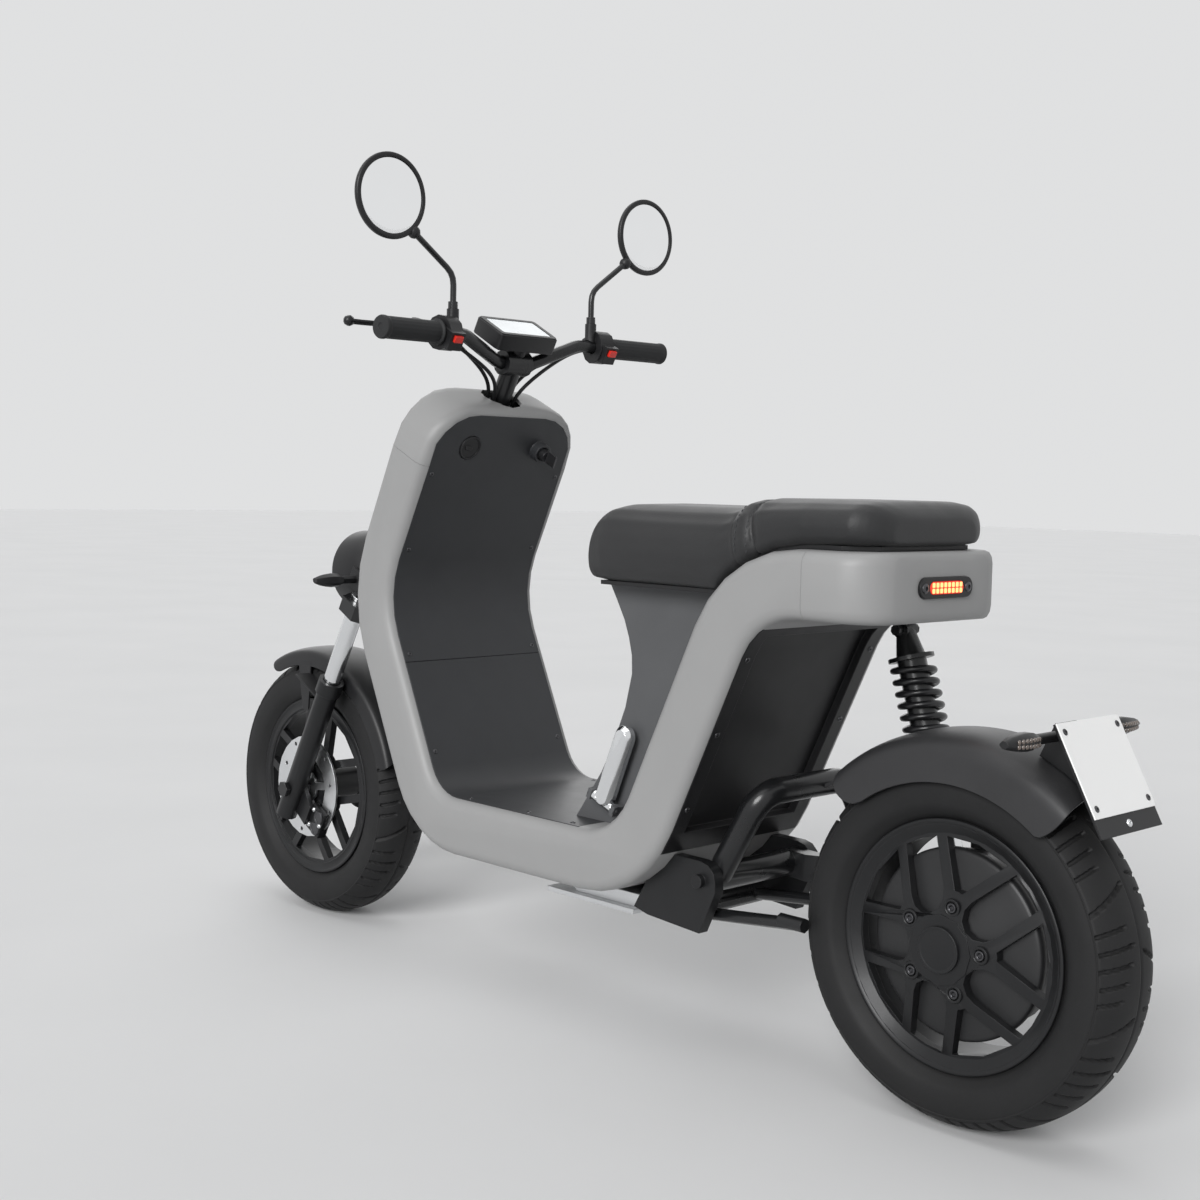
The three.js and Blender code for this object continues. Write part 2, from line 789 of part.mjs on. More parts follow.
// A closed sweep of a rounded section along the ribbon; sizes may change with the distance.
function ribbonSweep(stations, sizeAt, steps) {
  return skin(stations.map((station) => {
    const { low, high, halfWidth, round } = sizeAt(station.s);
    const radius = Math.min(round, halfWidth, (high - low) / 2);
    const outline = roundedRectangle(high - low, 2 * halfWidth, radius, radius ? steps : 0);
    const points = radius ? outline : roundedRectangle(high - low, 2 * halfWidth, 0, 0);
    return points.map(([out, across]) => {
      const [x, z] = onRibbon(station, out + (low + high) / 2);
      return point(x, across, z);
    });
  }));
}

function slab(start, end, low, high, halfWidth) {
  return ribbonSweep(ribbonSpan(start, end), () => ({ low, high, halfWidth, round: 0 }), 0);
}

const topSeam = topSeamDistance;
const tailSeam = ribbonEnd - (tailSeamX - tailEndX);
const jointAt = ribbonWhere((p) => onRibbon(p, halfThickness)[1] <= panelJointHeight);
const floorPanelEnd = ribbonWhere((p) => p.x <= floorPanelEndX && p.z < kneeHeight, jointAt);
const rearPanelStart = ribbonWhere((p) => onRibbon(p, -halfThickness)[1] >= rearPanelLowHeight, floorPanelEnd);
const rearPanelEnd = ribbonWhere((p) => onRibbon(p, -halfThickness)[1] >= rearPanelHighHeight, rearPanelStart);

// The quarter-round by which the end of the ribbon narrows.
function endDrawIn(distanceToEnd, radius) {
  if (distanceToEnd >= radius) return 0;
  const reach = radius - distanceToEnd;
  return radius - Math.sqrt(Math.max(radius * radius - reach * reach, 0));
}

function endDistances(end, radius, steps, sign) {
  return Array.from({ length: steps }, (_, i) => (
    end + sign * radius * (1 - Math.sin(Math.PI / 2 * (i + 1) / (steps + 1)))));
}

function capOuter(start, end, extra, planRound, edgeRound, atStart) {
  return ribbonSweep(ribbonSpan(start, end, extra), (s) => {
    const distance = atStart ? s : ribbonEnd - s;
    const thin = endDrawIn(distance, edgeRound);
    return {
      low: -halfThickness + thin, high: halfThickness - thin,
      halfWidth: halfRibbon - endDrawIn(distance, planRound) - thin, round: ribbonEdgeRound,
    };
  }, 3);
}

function capInner(start, end, extra, planRound, atStart) {
  return ribbonSweep(ribbonSpan(start, end, extra), (s) => {
    const distance = (atStart ? s : ribbonEnd - s) - shellWall;
    return {
      low: -halfThickness + shellWall, high: halfThickness - shellWall,
      halfWidth: halfRibbon - shellWall - endDrawIn(distance, planRound - shellWall),
      round: ribbonEdgeRound - shellWall,
    };
  }, 1);
}

// Width of the leg panel's recess: its two top corners are rounded.
function panelSpan(start, end, ledge, gap) {
  const from = start + ledge + gap;
  const radius = panelCornerRound - ledge;
  const extra = endDistances(from, radius, 4, 1);
  return {
    stations: ribbonSpan(from, end - gap, extra),
    halfWidthAt: (s) => panelHalfWidth - ledge - gap - endDrawIn(s - from, radius),
  };
}

function panelSolid(span, low, high) {
  return ribbonSweep(span.stations, (s) => (
    { low, high, halfWidth: span.halfWidthAt(s), round: 0 }), 0);
}

const rebate = panelThickness + seatGap;

function legPanelRecess() {
  const outer = panelSpan(panelTopInset, floorPanelEnd, 0, 0);
  const inner = panelSpan(panelTopInset, floorPanelEnd - panelLedge, panelLedge, 0);
  return join(
    panelSolid(outer, halfThickness - rebate, halfThickness + cutOverrun),
    panelSolid(inner, halfThickness - shellWall - cutOverrun, halfThickness));
}

function rearPanelOpening() {
  return join(
    slab(rearPanelStart, rearPanelEnd, -halfThickness - cutOverrun, -halfThickness + rebate, panelHalfWidth),
    slab(rearPanelStart + panelLedge, rearPanelEnd - panelLedge,
      -halfThickness, -halfThickness + shellWall + cutOverrun, panelHalfWidth - panelLedge));
}

// A cylinder about the steering axis, between two distances along it from the axle's foot.
function axisDirection() {
  return point(-Math.sin(rake), 0, Math.cos(rake));
}

function aboutSteering(low, high, radius, facets = roundFacets) {
  return rod(axleFoot.clone().addScaledVector(axisDirection(), low), axisDirection(), high - low, radius, facets);
}

function bodyShell() {
  const outer = ribbonSweep(ribbonSpan(topSeam + seatGap / 2, tailSeam - seatGap / 2), () => (
    { low: -halfThickness, high: halfThickness, halfWidth: halfRibbon, round: ribbonEdgeRound }), 3);
  const hollow = halfThickness - shellWall;
  const inner = ribbonSweep(ribbonSpan(topSeam - cutOverrun, tailSeam + cutOverrun), () => (
    { low: -hollow, high: hollow, halfWidth: halfRibbon - shellWall, round: ribbonEdgeRound - shellWall }), 1);
  const headHole = aboutSteering(crownLow, headTubeHigh, headTubeRadius + runningGap);
  return cut(outer, inner, legPanelRecess(), rearPanelOpening(), headHole);
}

function topCap() {
  const extra = endDistances(0, topCornerRound, 5, 1).concat(endDistances(0, ribbonEdgeRound, 1, 1));
  const outer = capOuter(0, topSeam - seatGap / 2, extra, topCornerRound, ribbonEdgeRound, true);
  const innerExtra = endDistances(shellWall, topCornerRound - shellWall, 3, 1);
  const inner = capInner(shellWall, topSeam + cutOverrun, innerExtra, topCornerRound, true);
  const hole = aboutSteering(headTubeHigh - cutOverrun, barCentreUp, stemHoleRadius, roundFacets);
  return cut(outer, inner, legPanelRecess(), hole);
}

function tailCap() {
  const extra = endDistances(ribbonEnd, tailPlanRound, 5, -1).concat(endDistances(ribbonEnd, tailEdgeRound, 1, -1));
  const outer = capOuter(tailSeam + seatGap / 2, ribbonEnd, extra, tailPlanRound, tailEdgeRound, false);
  const wall = tailLampDepth + shellWall;
  const inner = ribbonSweep(
    ribbonSpan(tailSeam - cutOverrun, ribbonEnd - wall, [ribbonEnd - tailPlanRound]), (s) => ({
      low: -halfThickness + shellWall, high: halfThickness - shellWall,
      halfWidth: halfRibbon - shellWall - endDrawIn(ribbonEnd - s - shellWall, tailPlanRound - shellWall),
      round: 0,
    }), 0);
  return cut(outer, inner, lampPocket());
}

function pillAcross(width, height, lowX, highX, middleHeight) {
  const shape = roundedRectangle(width, height, height / 2, 5);
  const rings = [lowX, highX].map((x) => shape.map(([y, z]) => point(x, y, middleHeight + z)));
  return skin(rings);
}

function lampPocket() {
  return pillAcross(tailLampWidth, tailLampHeight, tailEndX - cutOverrun, tailEndX + tailLampDepth - tailLampProud,
    tailMidHeight);
}

function tailLampHousing() {
  const back = tailEndX + tailLampDepth - tailLampProud - seatGap;
  const front = tailEndX - tailLampProud;
  const body = pillAcross(tailLampWidth - 2 * seatGap, tailLampHeight - 2 * seatGap, front, back, tailMidHeight);
  const pocket = pillAcross(tailLensWidth, tailLensHeight, front - cutOverrun, front + tailLensDepth, tailMidHeight);
  return cut(body, pocket);
}

function tailLampLens() {
  const front = tailEndX - tailLampProud;
  return pillAcross(tailLensWidth - 2 * seatGap, tailLensHeight - 2 * seatGap, front - seatGap,
    front + tailLensDepth - seatGap, tailMidHeight);
}

// Panels
function legPanel() {
  const span = panelSpan(panelTopInset, jointAt, 0, seatGap / 2);
  const low = halfThickness - panelThickness;
  const lock = lockPlace();
  const barrelHole = rod(lock.clone().addScaledVector(riderNormal(), -cutOverrun), riderNormal(),
    lockHousingLength + 2 * cutOverrun, holeFor(lockBarrelRadius, runningGap), roundFacets);
  const cover = coverPlace();
  const coverHole = rod(cover.clone().addScaledVector(riderNormal(), -coverDiscThickness), riderNormal(),
    cutOverrun, coverDiscRadius + seatGap, roundFacets);
  const housing = rod(lock.clone().addScaledVector(riderNormal(), -panelThickness / 2), riderNormal(),
    lockHousingLength + panelThickness / 2, lockHousingRadius, roundFacets);
  return cut(join(panelSolid(span, low, halfThickness), housing), barrelHole, coverHole);
}

function floorPanel() {
  return slab(jointAt + seatGap / 2, floorPanelEnd - seatGap, halfThickness - panelThickness, halfThickness,
    panelHalfWidth - seatGap);
}

function rearPanel() {
  const sheet = slab(rearPanelStart + seatGap, rearPanelEnd - seatGap, -halfThickness,
    -halfThickness + panelThickness, panelHalfWidth - seatGap);
  const inset = panelLedge + panelThickness;
  const tray = slab(rearPanelStart + inset, rearPanelEnd - inset, -halfThickness,
    -halfThickness + rearPanelRecess + panelThickness, panelHalfWidth - inset);
  const hollow = slab(rearPanelStart + inset + panelThickness, rearPanelEnd - inset - panelThickness,
    -halfThickness - cutOverrun, -halfThickness + rearPanelRecess, panelHalfWidth - inset - panelThickness);
  return cut(join(sheet, tray), hollow);
}

// The rider's face of the shield above the knee leans back, square to this direction.
function riderNormal() {
  return point(-Math.cos(bodyLean), 0, -Math.sin(bodyLean));
}

function onRiderFace(height, across) {
  const s = ribbonWhere((p) => onRibbon(p, halfThickness)[1] <= height);
  const [x, z] = onRibbon(ribbonAt(s), halfThickness);
  return point(x, across, z);
}

function lockPlace() {
  return onRiderFace(lockHeight, -lockAt);
}

function coverPlace() {
  return onRiderFace(lockHeight, coverDiscAt);
}

function chargeCover() {
  const start = coverPlace().addScaledVector(riderNormal(), -coverDiscThickness + seatGap);
  return rod(start, riderNormal(), coverDiscThickness, coverDiscRadius, roundFacets);
}

function keyLock() {
  const start = lockPlace();
  const length = lockHousingLength + lockBarrelLength;
  const barrel = rod(start, riderNormal(), length, lockBarrelRadius, roundFacets);
  const key = new THREE.BoxGeometry(keyHeight, keyThickness, keyWidth);
  key.applyQuaternion(new THREE.Quaternion().setFromUnitVectors(along.x, riderNormal()));
  const centre = start.clone().addScaledVector(riderNormal(), length + keyHeight / 2 - seatGap);
  return join(barrel, placed(key, centre.x, centre.y, centre.z));
}

// Frame inside the ribbon: a deep web from the head tube to the tail, with the head tube across its top
function mainFrame() {
  const hollow = halfThickness - shellWall - seatGap;
  const webStart = ribbonWhere((p) => p.z <= axleFoot.z + headTubeHigh * Math.cos(rake) - headTubeRadius);
  const stations = ribbonSpan(webStart, tailSeam);
  const sparse = stations.filter((_, i) => i % 2 === 0 || i === stations.length - 1);
  const web = ribbonSweep(sparse, () => (
    { low: -hollow + rearPanelRecess + panelThickness, high: hollow - panelThickness,
      halfWidth: frameWebHalf, round: 0 }), 0);
  const feet = [rearPanelStart - panelLedge, floorPanelEnd + panelLedge].map((s) => (
    slab(s - headTubeRadius, s, -hollow, hollow, headTubeRadius)));
  const tube = aboutSteering(headTubeLow, headTubeHigh, headTubeRadius);
  const bore = aboutSteering(crownLow - cutOverrun, headTubeHigh + cutOverrun, holeFor(stemRadius, runningGap));
  return cut(join(web, ...feet, tube), bore);
}

// Wheels
function tyre(width, rimWidth) {
  const half = width / 2;
  const bead = rimWidth / 2 - flangeThickness - seatGap;
  const right = [
    [beadSeatRadius + seatGap, bead],
    [rimFlangeRadius, bead],
    [rimFlangeRadius + tyreSectionHeight * tyreWaistShare, half],
    [rimFlangeRadius + tyreSectionHeight * tyreShoulderShares[0], half * tyreShoulderShares[1]],
    [tyreRadius, crownBand / 2],
  ];
  return [...right, ...right.map(([r, y]) => [r, -y]).reverse()];
}

function rimBarrel(rimWidth) {
  const edge = rimWidth / 2;
  const well = beadSeatRadius - barrelWall;
  const right = [
    [beadSeatRadius, edge - flangeThickness],
    [rimFlangeRadius, edge - flangeThickness],
    [rimFlangeRadius, edge],
    [well, edge],
  ];
  return [...right, ...right.map(([r, y]) => [r, -y]).reverse()];
}

// One spoke in the measures of its lug: u runs out through the lug, v across.
function spokeEdge(offset) {
  const lug = new THREE.Vector2(lugCircleRadius, 0);
  const rimPoint = new THREE.Vector2(Math.cos(spokeSpread), Math.sin(spokeSpread)).multiplyScalar(windowRadius);
  const direction = rimPoint.sub(lug).normalize();
  const towardMiddle = new THREE.Vector2(direction.y, -direction.x);
  const clear = Math.sqrt(lugRadius ** 2 - offset ** 2);
  const near = lug.clone().addScaledVector(direction, clear).addScaledVector(towardMiddle, offset);
  const run = near.dot(direction);
  const far = near.clone().addScaledVector(direction, Math.sqrt(run ** 2 - near.lengthSq() + windowRadius ** 2) - run);
  return { near, far };
}

// The narrow window between the two spokes of one lug
function narrowWindow() {
  const { near, far } = spokeEdge(spokeWidth / 2);
  return [[near.x, -near.y], [lugCircleRadius + lugRadius, 0], [near.x, near.y], [far.x, far.y], [windowRadius, 0],
    [far.x, -far.y]];
}

// The wide window between two lugs, with a round inner end
function wideWindow() {
  const middle = new THREE.Vector2();
  const turn = Math.PI / spokeCount;
  const { near, far } = spokeEdge(-spokeWidth / 2);
  const nearSide = near.rotateAround(middle, -turn);
  const farSide = far.rotateAround(middle, -turn);
  const round = Math.abs(nearSide.y);
  return [...arcPoints(hubFaceRadius + round, 0, round, Math.PI / 2, 3 * Math.PI / 2, 6),
    [farSide.x, -Math.abs(farSide.y)], [windowRadius, 0], [farSide.x, Math.abs(farSide.y)]];
}

// Five lugs, each sending two spokes out to the rim: one dished casting pierced by ten windows
function wheelSpider(hubOut, capRise, turn) {
  const reach = beadSeatRadius - barrelWall / 2;
  const rotated = (outline, angle) => outline.map(([u, v]) => new THREE.Vector2(
    u * Math.cos(angle) - v * Math.sin(angle), u * Math.sin(angle) + v * Math.cos(angle)));
  const shape = new THREE.Shape(Array.from({ length: tyreFacets }, (_, i) => {
    const angle = turn + (i + 0.5) * 2 * Math.PI / tyreFacets;
    return new THREE.Vector2(reach * Math.cos(angle), reach * Math.sin(angle));
  }));
  shape.holes.push(new THREE.Path(arcPoints(0, 0, hubFaceRadius - 2 * hubFaceRise, 0,
    2 * Math.PI * (1 - 1 / roundFacets), roundFacets - 1).map(([x, z]) => new THREE.Vector2(x, z))));
  const lugAngles = Array.from({ length: spokeCount }, (_, i) => lugTurn + i * 2 * Math.PI / spokeCount);
  for (const angle of lugAngles) {
    shape.holes.push(new THREE.Path(rotated(narrowWindow(), angle)));
    shape.holes.push(new THREE.Path(rotated(wideWindow(), angle + Math.PI / spokeCount)));
  }
  const geometry = new THREE.ExtrudeGeometry(shape, { depth: spokeDepth, bevelEnabled: false });
  geometry.rotateX(Math.PI / 2);
  const places = geometry.attributes.position;
  for (let i = 0; i < places.count; i += 1) {
    const radius = Math.hypot(places.getX(i), places.getZ(i));
    const share = Math.min(1, (reach - radius) / (reach - hubFaceRadius));
    places.setY(i, places.getY(i) + spokeRimOut + (hubOut - spokeRimOut) * share);
  }
  const proud = hubOut + hubFaceRise;
  const back = hubOut - spokeDepth + hubFaceRise / 2;
  const hub = turned([
    [0, back], [hubFaceRadius - hubFaceRise / 2, back], [hubFaceRadius - hubFaceRise / 2, proud],
    [hubCapRadius, proud], [hubCapRadius, proud + capRise], [0, proud + capRise],
  ], point(0, 0, 0), along.y, roundFacets);
  const holes = lugAngles.map((angle) => rod(
    point(lugCircleRadius * Math.cos(angle), hubOut - boltHoleDepth, lugCircleRadius * Math.sin(angle)),
    along.y, boltHoleDepth + cutOverrun, boltHoleRadius, smallFacets));
  return cut(join(solid(geometry), hub), ...holes);
}

function rearRim() {
  const barrel = turnedAcross(rimBarrel(rearRimWidth), tyreFacets);
  return moved(join(barrel, wheelSpider(hubFaceOut, hubCapRise, rearTurn)), 0, 0, axleHeight);
}

function rearTyre() {
  return turnedAcross(tyre(rearTyreWidth, rearRimWidth), tyreFacets, point(0, 0, axleHeight));
}

function hubMotor() {
  const inner = hubFaceOut - spokeDepth + hubFaceRise / 2 - seatGap;
  const nose = hubFaceRadius - motorNoseInset;
  const profile = [
    [0, -motorHalfWidth], [motorRadius - motorShoulder, -motorHalfWidth], [motorRadius, -motorHalfWidth + motorShoulder],
    [motorRadius, motorHalfWidth - 2 * motorShoulder], [motorRadius - motorShoulder, motorHalfWidth - motorShoulder],
    [hubFaceRadius + motorConeRim, motorHalfWidth - motorShoulder], [nose, inner], [0, inner],
  ];
  const body = turned(profile, point(0, 0, axleHeight), along.y, discFacets);
  const bore = rod(point(0, -motorHalfWidth - cutOverrun, axleHeight), along.y,
    motorHalfWidth + inner - motorShoulder + runningGap, holeFor(motorAxleRadius, runningGap));
  return cut(body, bore);
}

// Rear suspension arm: pivot tube, hoop and a beam on the right-hand side that carries the axle
function swingarm() {
  const pivot = point(pivotX, 0, pivotHeight);
  const tubeEnd = pivotHalfWidth - seatGap;
  const tubeBody = rod(point(pivot.x, -tubeEnd, pivot.z), along.y, 2 * tubeEnd, pivotTubeRadius);
  const beamY = -armBeamAt;
  const rise = Math.atan2(pivotHeight - axleHeight, pivotX);
  const drop = (x) => axleHeight + x * Math.tan(rise);
  const beamEnd = armBeamHeight / 2;
  const outline = [
    ...arcPoints(0, axleHeight, beamEnd, Math.PI / 2, 3 * Math.PI / 2, 6),
    [pivotX, pivotHeight - beamEnd * 0.8],
    ...arcPoints(pivotX, pivotHeight, beamEnd * 0.8, -Math.PI / 2, Math.PI / 2, 5),
    [hoopLandX, drop(hoopLandX) + beamEnd],
  ];
  const [outer, inner] = [beamY - armBeamWidth / 2, beamY + armBeamWidth / 2];
  const crankStart = pivotX - bellyEarRadius - armBeamWidth / 4;
  const crankEnd = hoopX;
  const plan = planPrism([
    [pivotX + armBeamHeight, -tubeEnd], [pivotX + armBeamHeight, -tubeEnd + armBeamWidth * 0.7],
    [crankStart, -tubeEnd + armBeamWidth * 0.7], [crankEnd, inner], [-armBeamHeight, inner],
    [-armBeamHeight, outer], [crankEnd, outer], [crankStart, -tubeEnd],
  ], axleHeight - armBeamHeight, hoopHeight);
  const beam = sidePrism(outline, outer, pivot.y).intersect(plan);
  const hoop = bentTube([
    point(pivotX, hoopLeftAt, pivotHeight), point(hoopX, hoopLeftAt, hoopHeight),
    point(hoopX, beamY, hoopHeight), point(hoopLandX, beamY, drop(hoopLandX)),
  ], hoopRadius, hoopBend, 3);
  const axle = rod(point(0, beamY, axleHeight), along.y, armBeamAt + hubFaceOut - spokeDepth - motorShoulder - cutOverrun,
    motorAxleRadius);
  const bore = rod(point(pivot.x, -armBeamAt - armBeamWidth, pivot.z), along.y, 2 * armBeamAt + armBeamWidth,
    holeFor(pivotShaftRadius, runningGap));
  return cut(join(tubeBody, beam, hoop, axle, ...shockEars(), ...guardStay()), bore);
}

function shockEars() {
  return [-1, 1].map((side) => {
    const inner = -armBeamAt + side * (shockEyeWidth / 2 + seatGap);
    const outer = inner + side * shockLugThickness;
    const foot = axleHeight;
    const outline = [
      [shockLowX - shockEyeRadius * 1.5, foot], [shockLowX + shockEyeRadius * 1.5, foot],
      ...arcPoints(shockLowX, shockLowHeight, shockEyeRadius, 0, Math.PI, 6),
    ];
    return sidePrism(outline, Math.min(inner, outer), Math.max(inner, outer));
  }).concat(rodBetween(
    point(shockLowX, -armBeamAt - shockEyeWidth, shockLowHeight),
    point(shockLowX, -armBeamAt + shockEyeWidth, shockLowHeight), shockRodRadius, smallFacets));
}

function guardStay() {
  const plateOut = rearGuardHalfWidth + seatGap;
  const reach = rearGuardRadius - rearGuardSkirt * 0.35;
  const lean = THREE.MathUtils.degToRad(80);
  const half = THREE.MathUtils.degToRad(4);
  const outline = [
    [armBeamHeight, axleHeight], [armBeamHeight * 0.2, axleHeight],
    [reach * Math.cos(lean + half), axleHeight + reach * Math.sin(lean + half)],
    [reach * Math.cos(lean - half), axleHeight + reach * Math.sin(lean - half)],
  ];
  return [sidePrism(outline, -plateOut - guardWall, -plateOut),
    block(armBeamHeight * 0.2, armBeamHeight, -armBeamAt, -plateOut, axleHeight - armBeamHeight / 4,
      axleHeight + armBeamHeight / 4)];
}

// A mudguard bends over its wheel: an arched section swept round the axle.
function mudguard(radius, halfWidth, skirt, start, end, steps) {
  const outer = [
    [halfWidth, -skirt], [halfWidth * 0.96, -skirt * 0.4], [halfWidth * 0.7, -skirt * 0.1], [0, 0],
  ];
  const inner = outer.map(([y, r]) => [y - guardWall * (y / halfWidth), r - guardWall * (1 - 0.9 * y / halfWidth)]);
  const section = [
    ...outer, ...outer.slice(0, -1).reverse().map(([y, r]) => [-y, r]),
    ...inner.slice(0, -1).map(([y, r]) => [-y, r]), inner[inner.length - 1], ...inner.slice(0, -1).reverse(),
  ];
  const rings = Array.from({ length: steps + 1 }, (_, i) => {
    const angle = start + (end - start) * i / steps;
    return section.map(([y, r]) => point((radius + r) * Math.cos(angle), y, (radius + r) * Math.sin(angle)));
  });
  return skinHollowEnds(rings);
}

// Like skin, but the end faces are cut into strips because the section is a thin arch.
function skinHollowEnds(rings) {
  const size = rings[0].length;
  const places = rings.flat().flatMap((p) => [p.x, p.y, p.z]);
  const index = [];
  for (let i = 0; i < rings.length - 1; i += 1) {
    for (let j = 0; j < size; j += 1) {
      const k = (j + 1) % size;
      const [here, next] = [i * size, (i + 1) * size];
      index.push(here + j, next + j, next + k, here + j, next + k, here + k);
    }
  }
  const last = (rings.length - 1) * size;
  for (let j = 0; j < size / 2 - 1; j += 1) {
    const [a, b, c, d] = [j, j + 1, size - 1 - (j + 1), size - 1 - j];
    index.push(a, b, c, a, c, d);
    index.push(last + a, last + c, last + b, last + a, last + d, last + c);
  }
  const geometry = new THREE.BufferGeometry();
  geometry.setAttribute('position', new THREE.BufferAttribute(new Float32Array(places), 3));
  geometry.setIndex(index);
  const body = solid(geometry);
  if (body.volume() > 0) return body;
  const flipped = [];
  for (let i = 0; i < index.length; i += 3) flipped.push(index[i], index[i + 2], index[i + 1]);
  geometry.setIndex(flipped);
  return solid(geometry);
}

function rearGuard() {
  const guard = moved(mudguard(rearGuardRadius, rearGuardHalfWidth, rearGuardSkirt, rearGuardStart, rearGuardEnd,
    rearGuardSteps), 0, 0, axleHeight);
  const edgeX = rearGuardRadius * Math.cos(rearGuardStart);
  const edgeZ = axleHeight + rearGuardRadius * Math.sin(rearGuardStart);
  const reachX = hoopX - hoopRadius - seatGap;
  const tongue = sidePrism([
    [edgeX - rearGuardSkirt / 4, edgeZ], [edgeX, edgeZ - guardWall * 2], [reachX, hoopHeight - guardWall],
    [reachX, hoopHeight + guardWall], [edgeX - rearGuardSkirt / 4, edgeZ + guardWall * 2],
  ], -rearGuardHalfWidth * 0.9, -rearGuardHalfWidth * 0.5);
  return join(guard, tongue);
}

// Number plate, its bracket and the rear indicators, in the bracket's own leaning plane
function leaning(shape) {
  return tipped(shape, plateLean, plateX, 0, plateMidHeight);
}

function numberPlate() {
  return leaning(block(-plateThickness, 0, -plateWidth / 2, plateWidth / 2, -plateHeight / 2, plateHeight / 2));
}

function plateBracket() {
  const back = seatGap;
  const sheet = leaning(block(back, back + bracketThickness, -plateWidth / 2, plateWidth / 2,
    -plateHeight / 2 - bracketFoot, plateHeight / 2));
  const guardTop = rearGuardRadius + seatGap;
  const stepAngle = (wedgeEnd - wedgeStart) / wedgeSteps;
  const arc = Array.from({ length: wedgeSteps + 1 }, (_, i) => {
    const angle = wedgeStart + stepAngle * i;
    const radius = guardTop / Math.cos(stepAngle / 2);
    return [radius * Math.cos(angle), axleHeight + radius * Math.sin(angle)];
  });
  const onSheet = (height) => plateX + bracketThickness / 2 + (height - plateMidHeight) * Math.tan(plateLean);
  const lowEnd = arc[arc.length - 1][1];
  const highEnd = rearIndicatorHeight + indicatorHeight * 0.6;
  const wedge = sidePrism([
    ...arc, [onSheet(lowEnd), lowEnd], [onSheet(highEnd), highEnd],
    [rearIndicatorX + indicatorStalkRadius * 1.6, highEnd],
  ], -bracketFoot, bracketFoot);
  const bar = rod(point(rearIndicatorX, -rearIndicatorStart - seatGap, rearIndicatorHeight), along.y,
    2 * (rearIndicatorStart + seatGap), indicatorStalkRadius, smallFacets);
  const lamps = [-1, 1].map((side) => indicatorPod(rearIndicatorX, side * rearIndicatorStart,
    rearIndicatorHeight, side, rearIndicatorLength));
  return join(sheet, wedge, bar, ...lamps);
}

// An indicator: a flat pod with a rounded outline in plan that tapers outwards.
function indicatorPod(x, startY, z, side, length) {
  const steps = 5;
  const ring = (y, share) => roundedRectangle(indicatorDepth * share, indicatorHeight * share,
    indicatorHeight * share * 0.4, 1).map(([a, b]) => point(x + a, startY + side * y, z + b));
  const shares = [0.62, 0.95, 1, 0.9, 0.72, 0.4];
  return skin(Array.from({ length: steps + 1 }, (_, i) => ring(length * i / steps, shares[i])));
}

// Coil-over unit on the right, drawn upright and then leaned onto its two eyes
function shockFrame() {
  const low = point(shockLowX, -armBeamAt, shockLowHeight);
  const high = point(shockTopX, -armBeamAt, shockTopHeight);
  const axis = high.clone().sub(low);
  return { low, axis: axis.clone().normalize(), length: axis.length() };
}

function onShock(build) {
  const { low, axis, length } = shockFrame();
  return tipped(build(length), Math.atan2(axis.x, axis.z), low.x, low.y, low.z);
}

function shockEye(height) {
  return rod(point(0, -shockEyeWidth / 2, height), along.y, shockEyeWidth, shockEyeRadius);
}

function shockBody() {
  return onShock((length) => {
    const seatAt = length * springHighShare;
    const shell = turned([
      [0, length * shockBodyShare], [shockBodyRadius, length * shockBodyShare], [shockBodyRadius, seatAt],
      [shockSeatRadius, seatAt], [shockSeatRadius, seatAt + shockSeatThickness],
      [shockBodyRadius, seatAt + shockSeatThickness], [shockEyeRadius, length], [0, length],
    ], point(0, 0, 0), along.z, roundFacets);
    const bore = rod(point(0, 0, length * shockBodyShare - cutOverrun), along.z, length * shockStrokeShare,
      shockRodRadius * 1.6);
    const hang = rod(point(0, -shockEyeWidth / 2 - cutOverrun, length), along.y, shockEyeWidth + 2 * cutOverrun,
      shockRodRadius, smallFacets);
    return join(cut(shell, bore), shockEye(length), hang);
  });
}

function shockRod() {
  return onShock((length) => {
    const seatAt = length * springLowShare;
    const cupRadius = shockBodyRadius * 0.8;
    const stem = turned([
      [0, 0], [shockEyeRadius * 0.9, 0], [shockEyeRadius * 0.9, shockEyeRadius * 1.1],
      [cupRadius, shockEyeRadius * 1.4], [cupRadius, seatAt - shockSeatThickness], [shockSeatRadius, seatAt - shockSeatThickness],
      [shockSeatRadius, seatAt], [shockRodRadius, seatAt], [shockRodRadius, length * shockRodShare],
      [0, length * shockRodShare],
    ], point(0, 0, 0), along.z, roundFacets);
    const bolt = rod(point(0, -shockEyeWidth, 0), along.y, 2 * shockEyeWidth,
      holeFor(shockRodRadius, runningGap));
    return cut(join(stem, shockEye(0)), bolt);
  });
}

// One unbroken wire wound round the damper, with its least gap to itself measured on its points
function shockSpring() {
  return onShock((length) => {
    const low = length * springLowShare + springWire + seatGap;
    const high = length * springHighShare - springWire - seatGap;
    const steps = springTurns * springSteps;
    const places = Array.from({ length: steps + 1 }, (_, i) => {
      const angle = i * 2 * Math.PI / springSteps;
      return point(springRadius * Math.cos(angle), springRadius * Math.sin(angle), low + (high - low) * i / steps);
    });
    let least = Infinity;
    for (let i = 0; i < places.length; i += 1) {
      for (let j = i + springSteps / 2; j < places.length; j += 1) {
        least = Math.min(least, places[i].distanceTo(places[j]) - 2 * springWire);
      }
    }
    console.log(`shock spring: least gap to itself ${least.toFixed(2)} mm`);
    return solid(tubeThrough(places, springWire, springWireSides));
  });
}

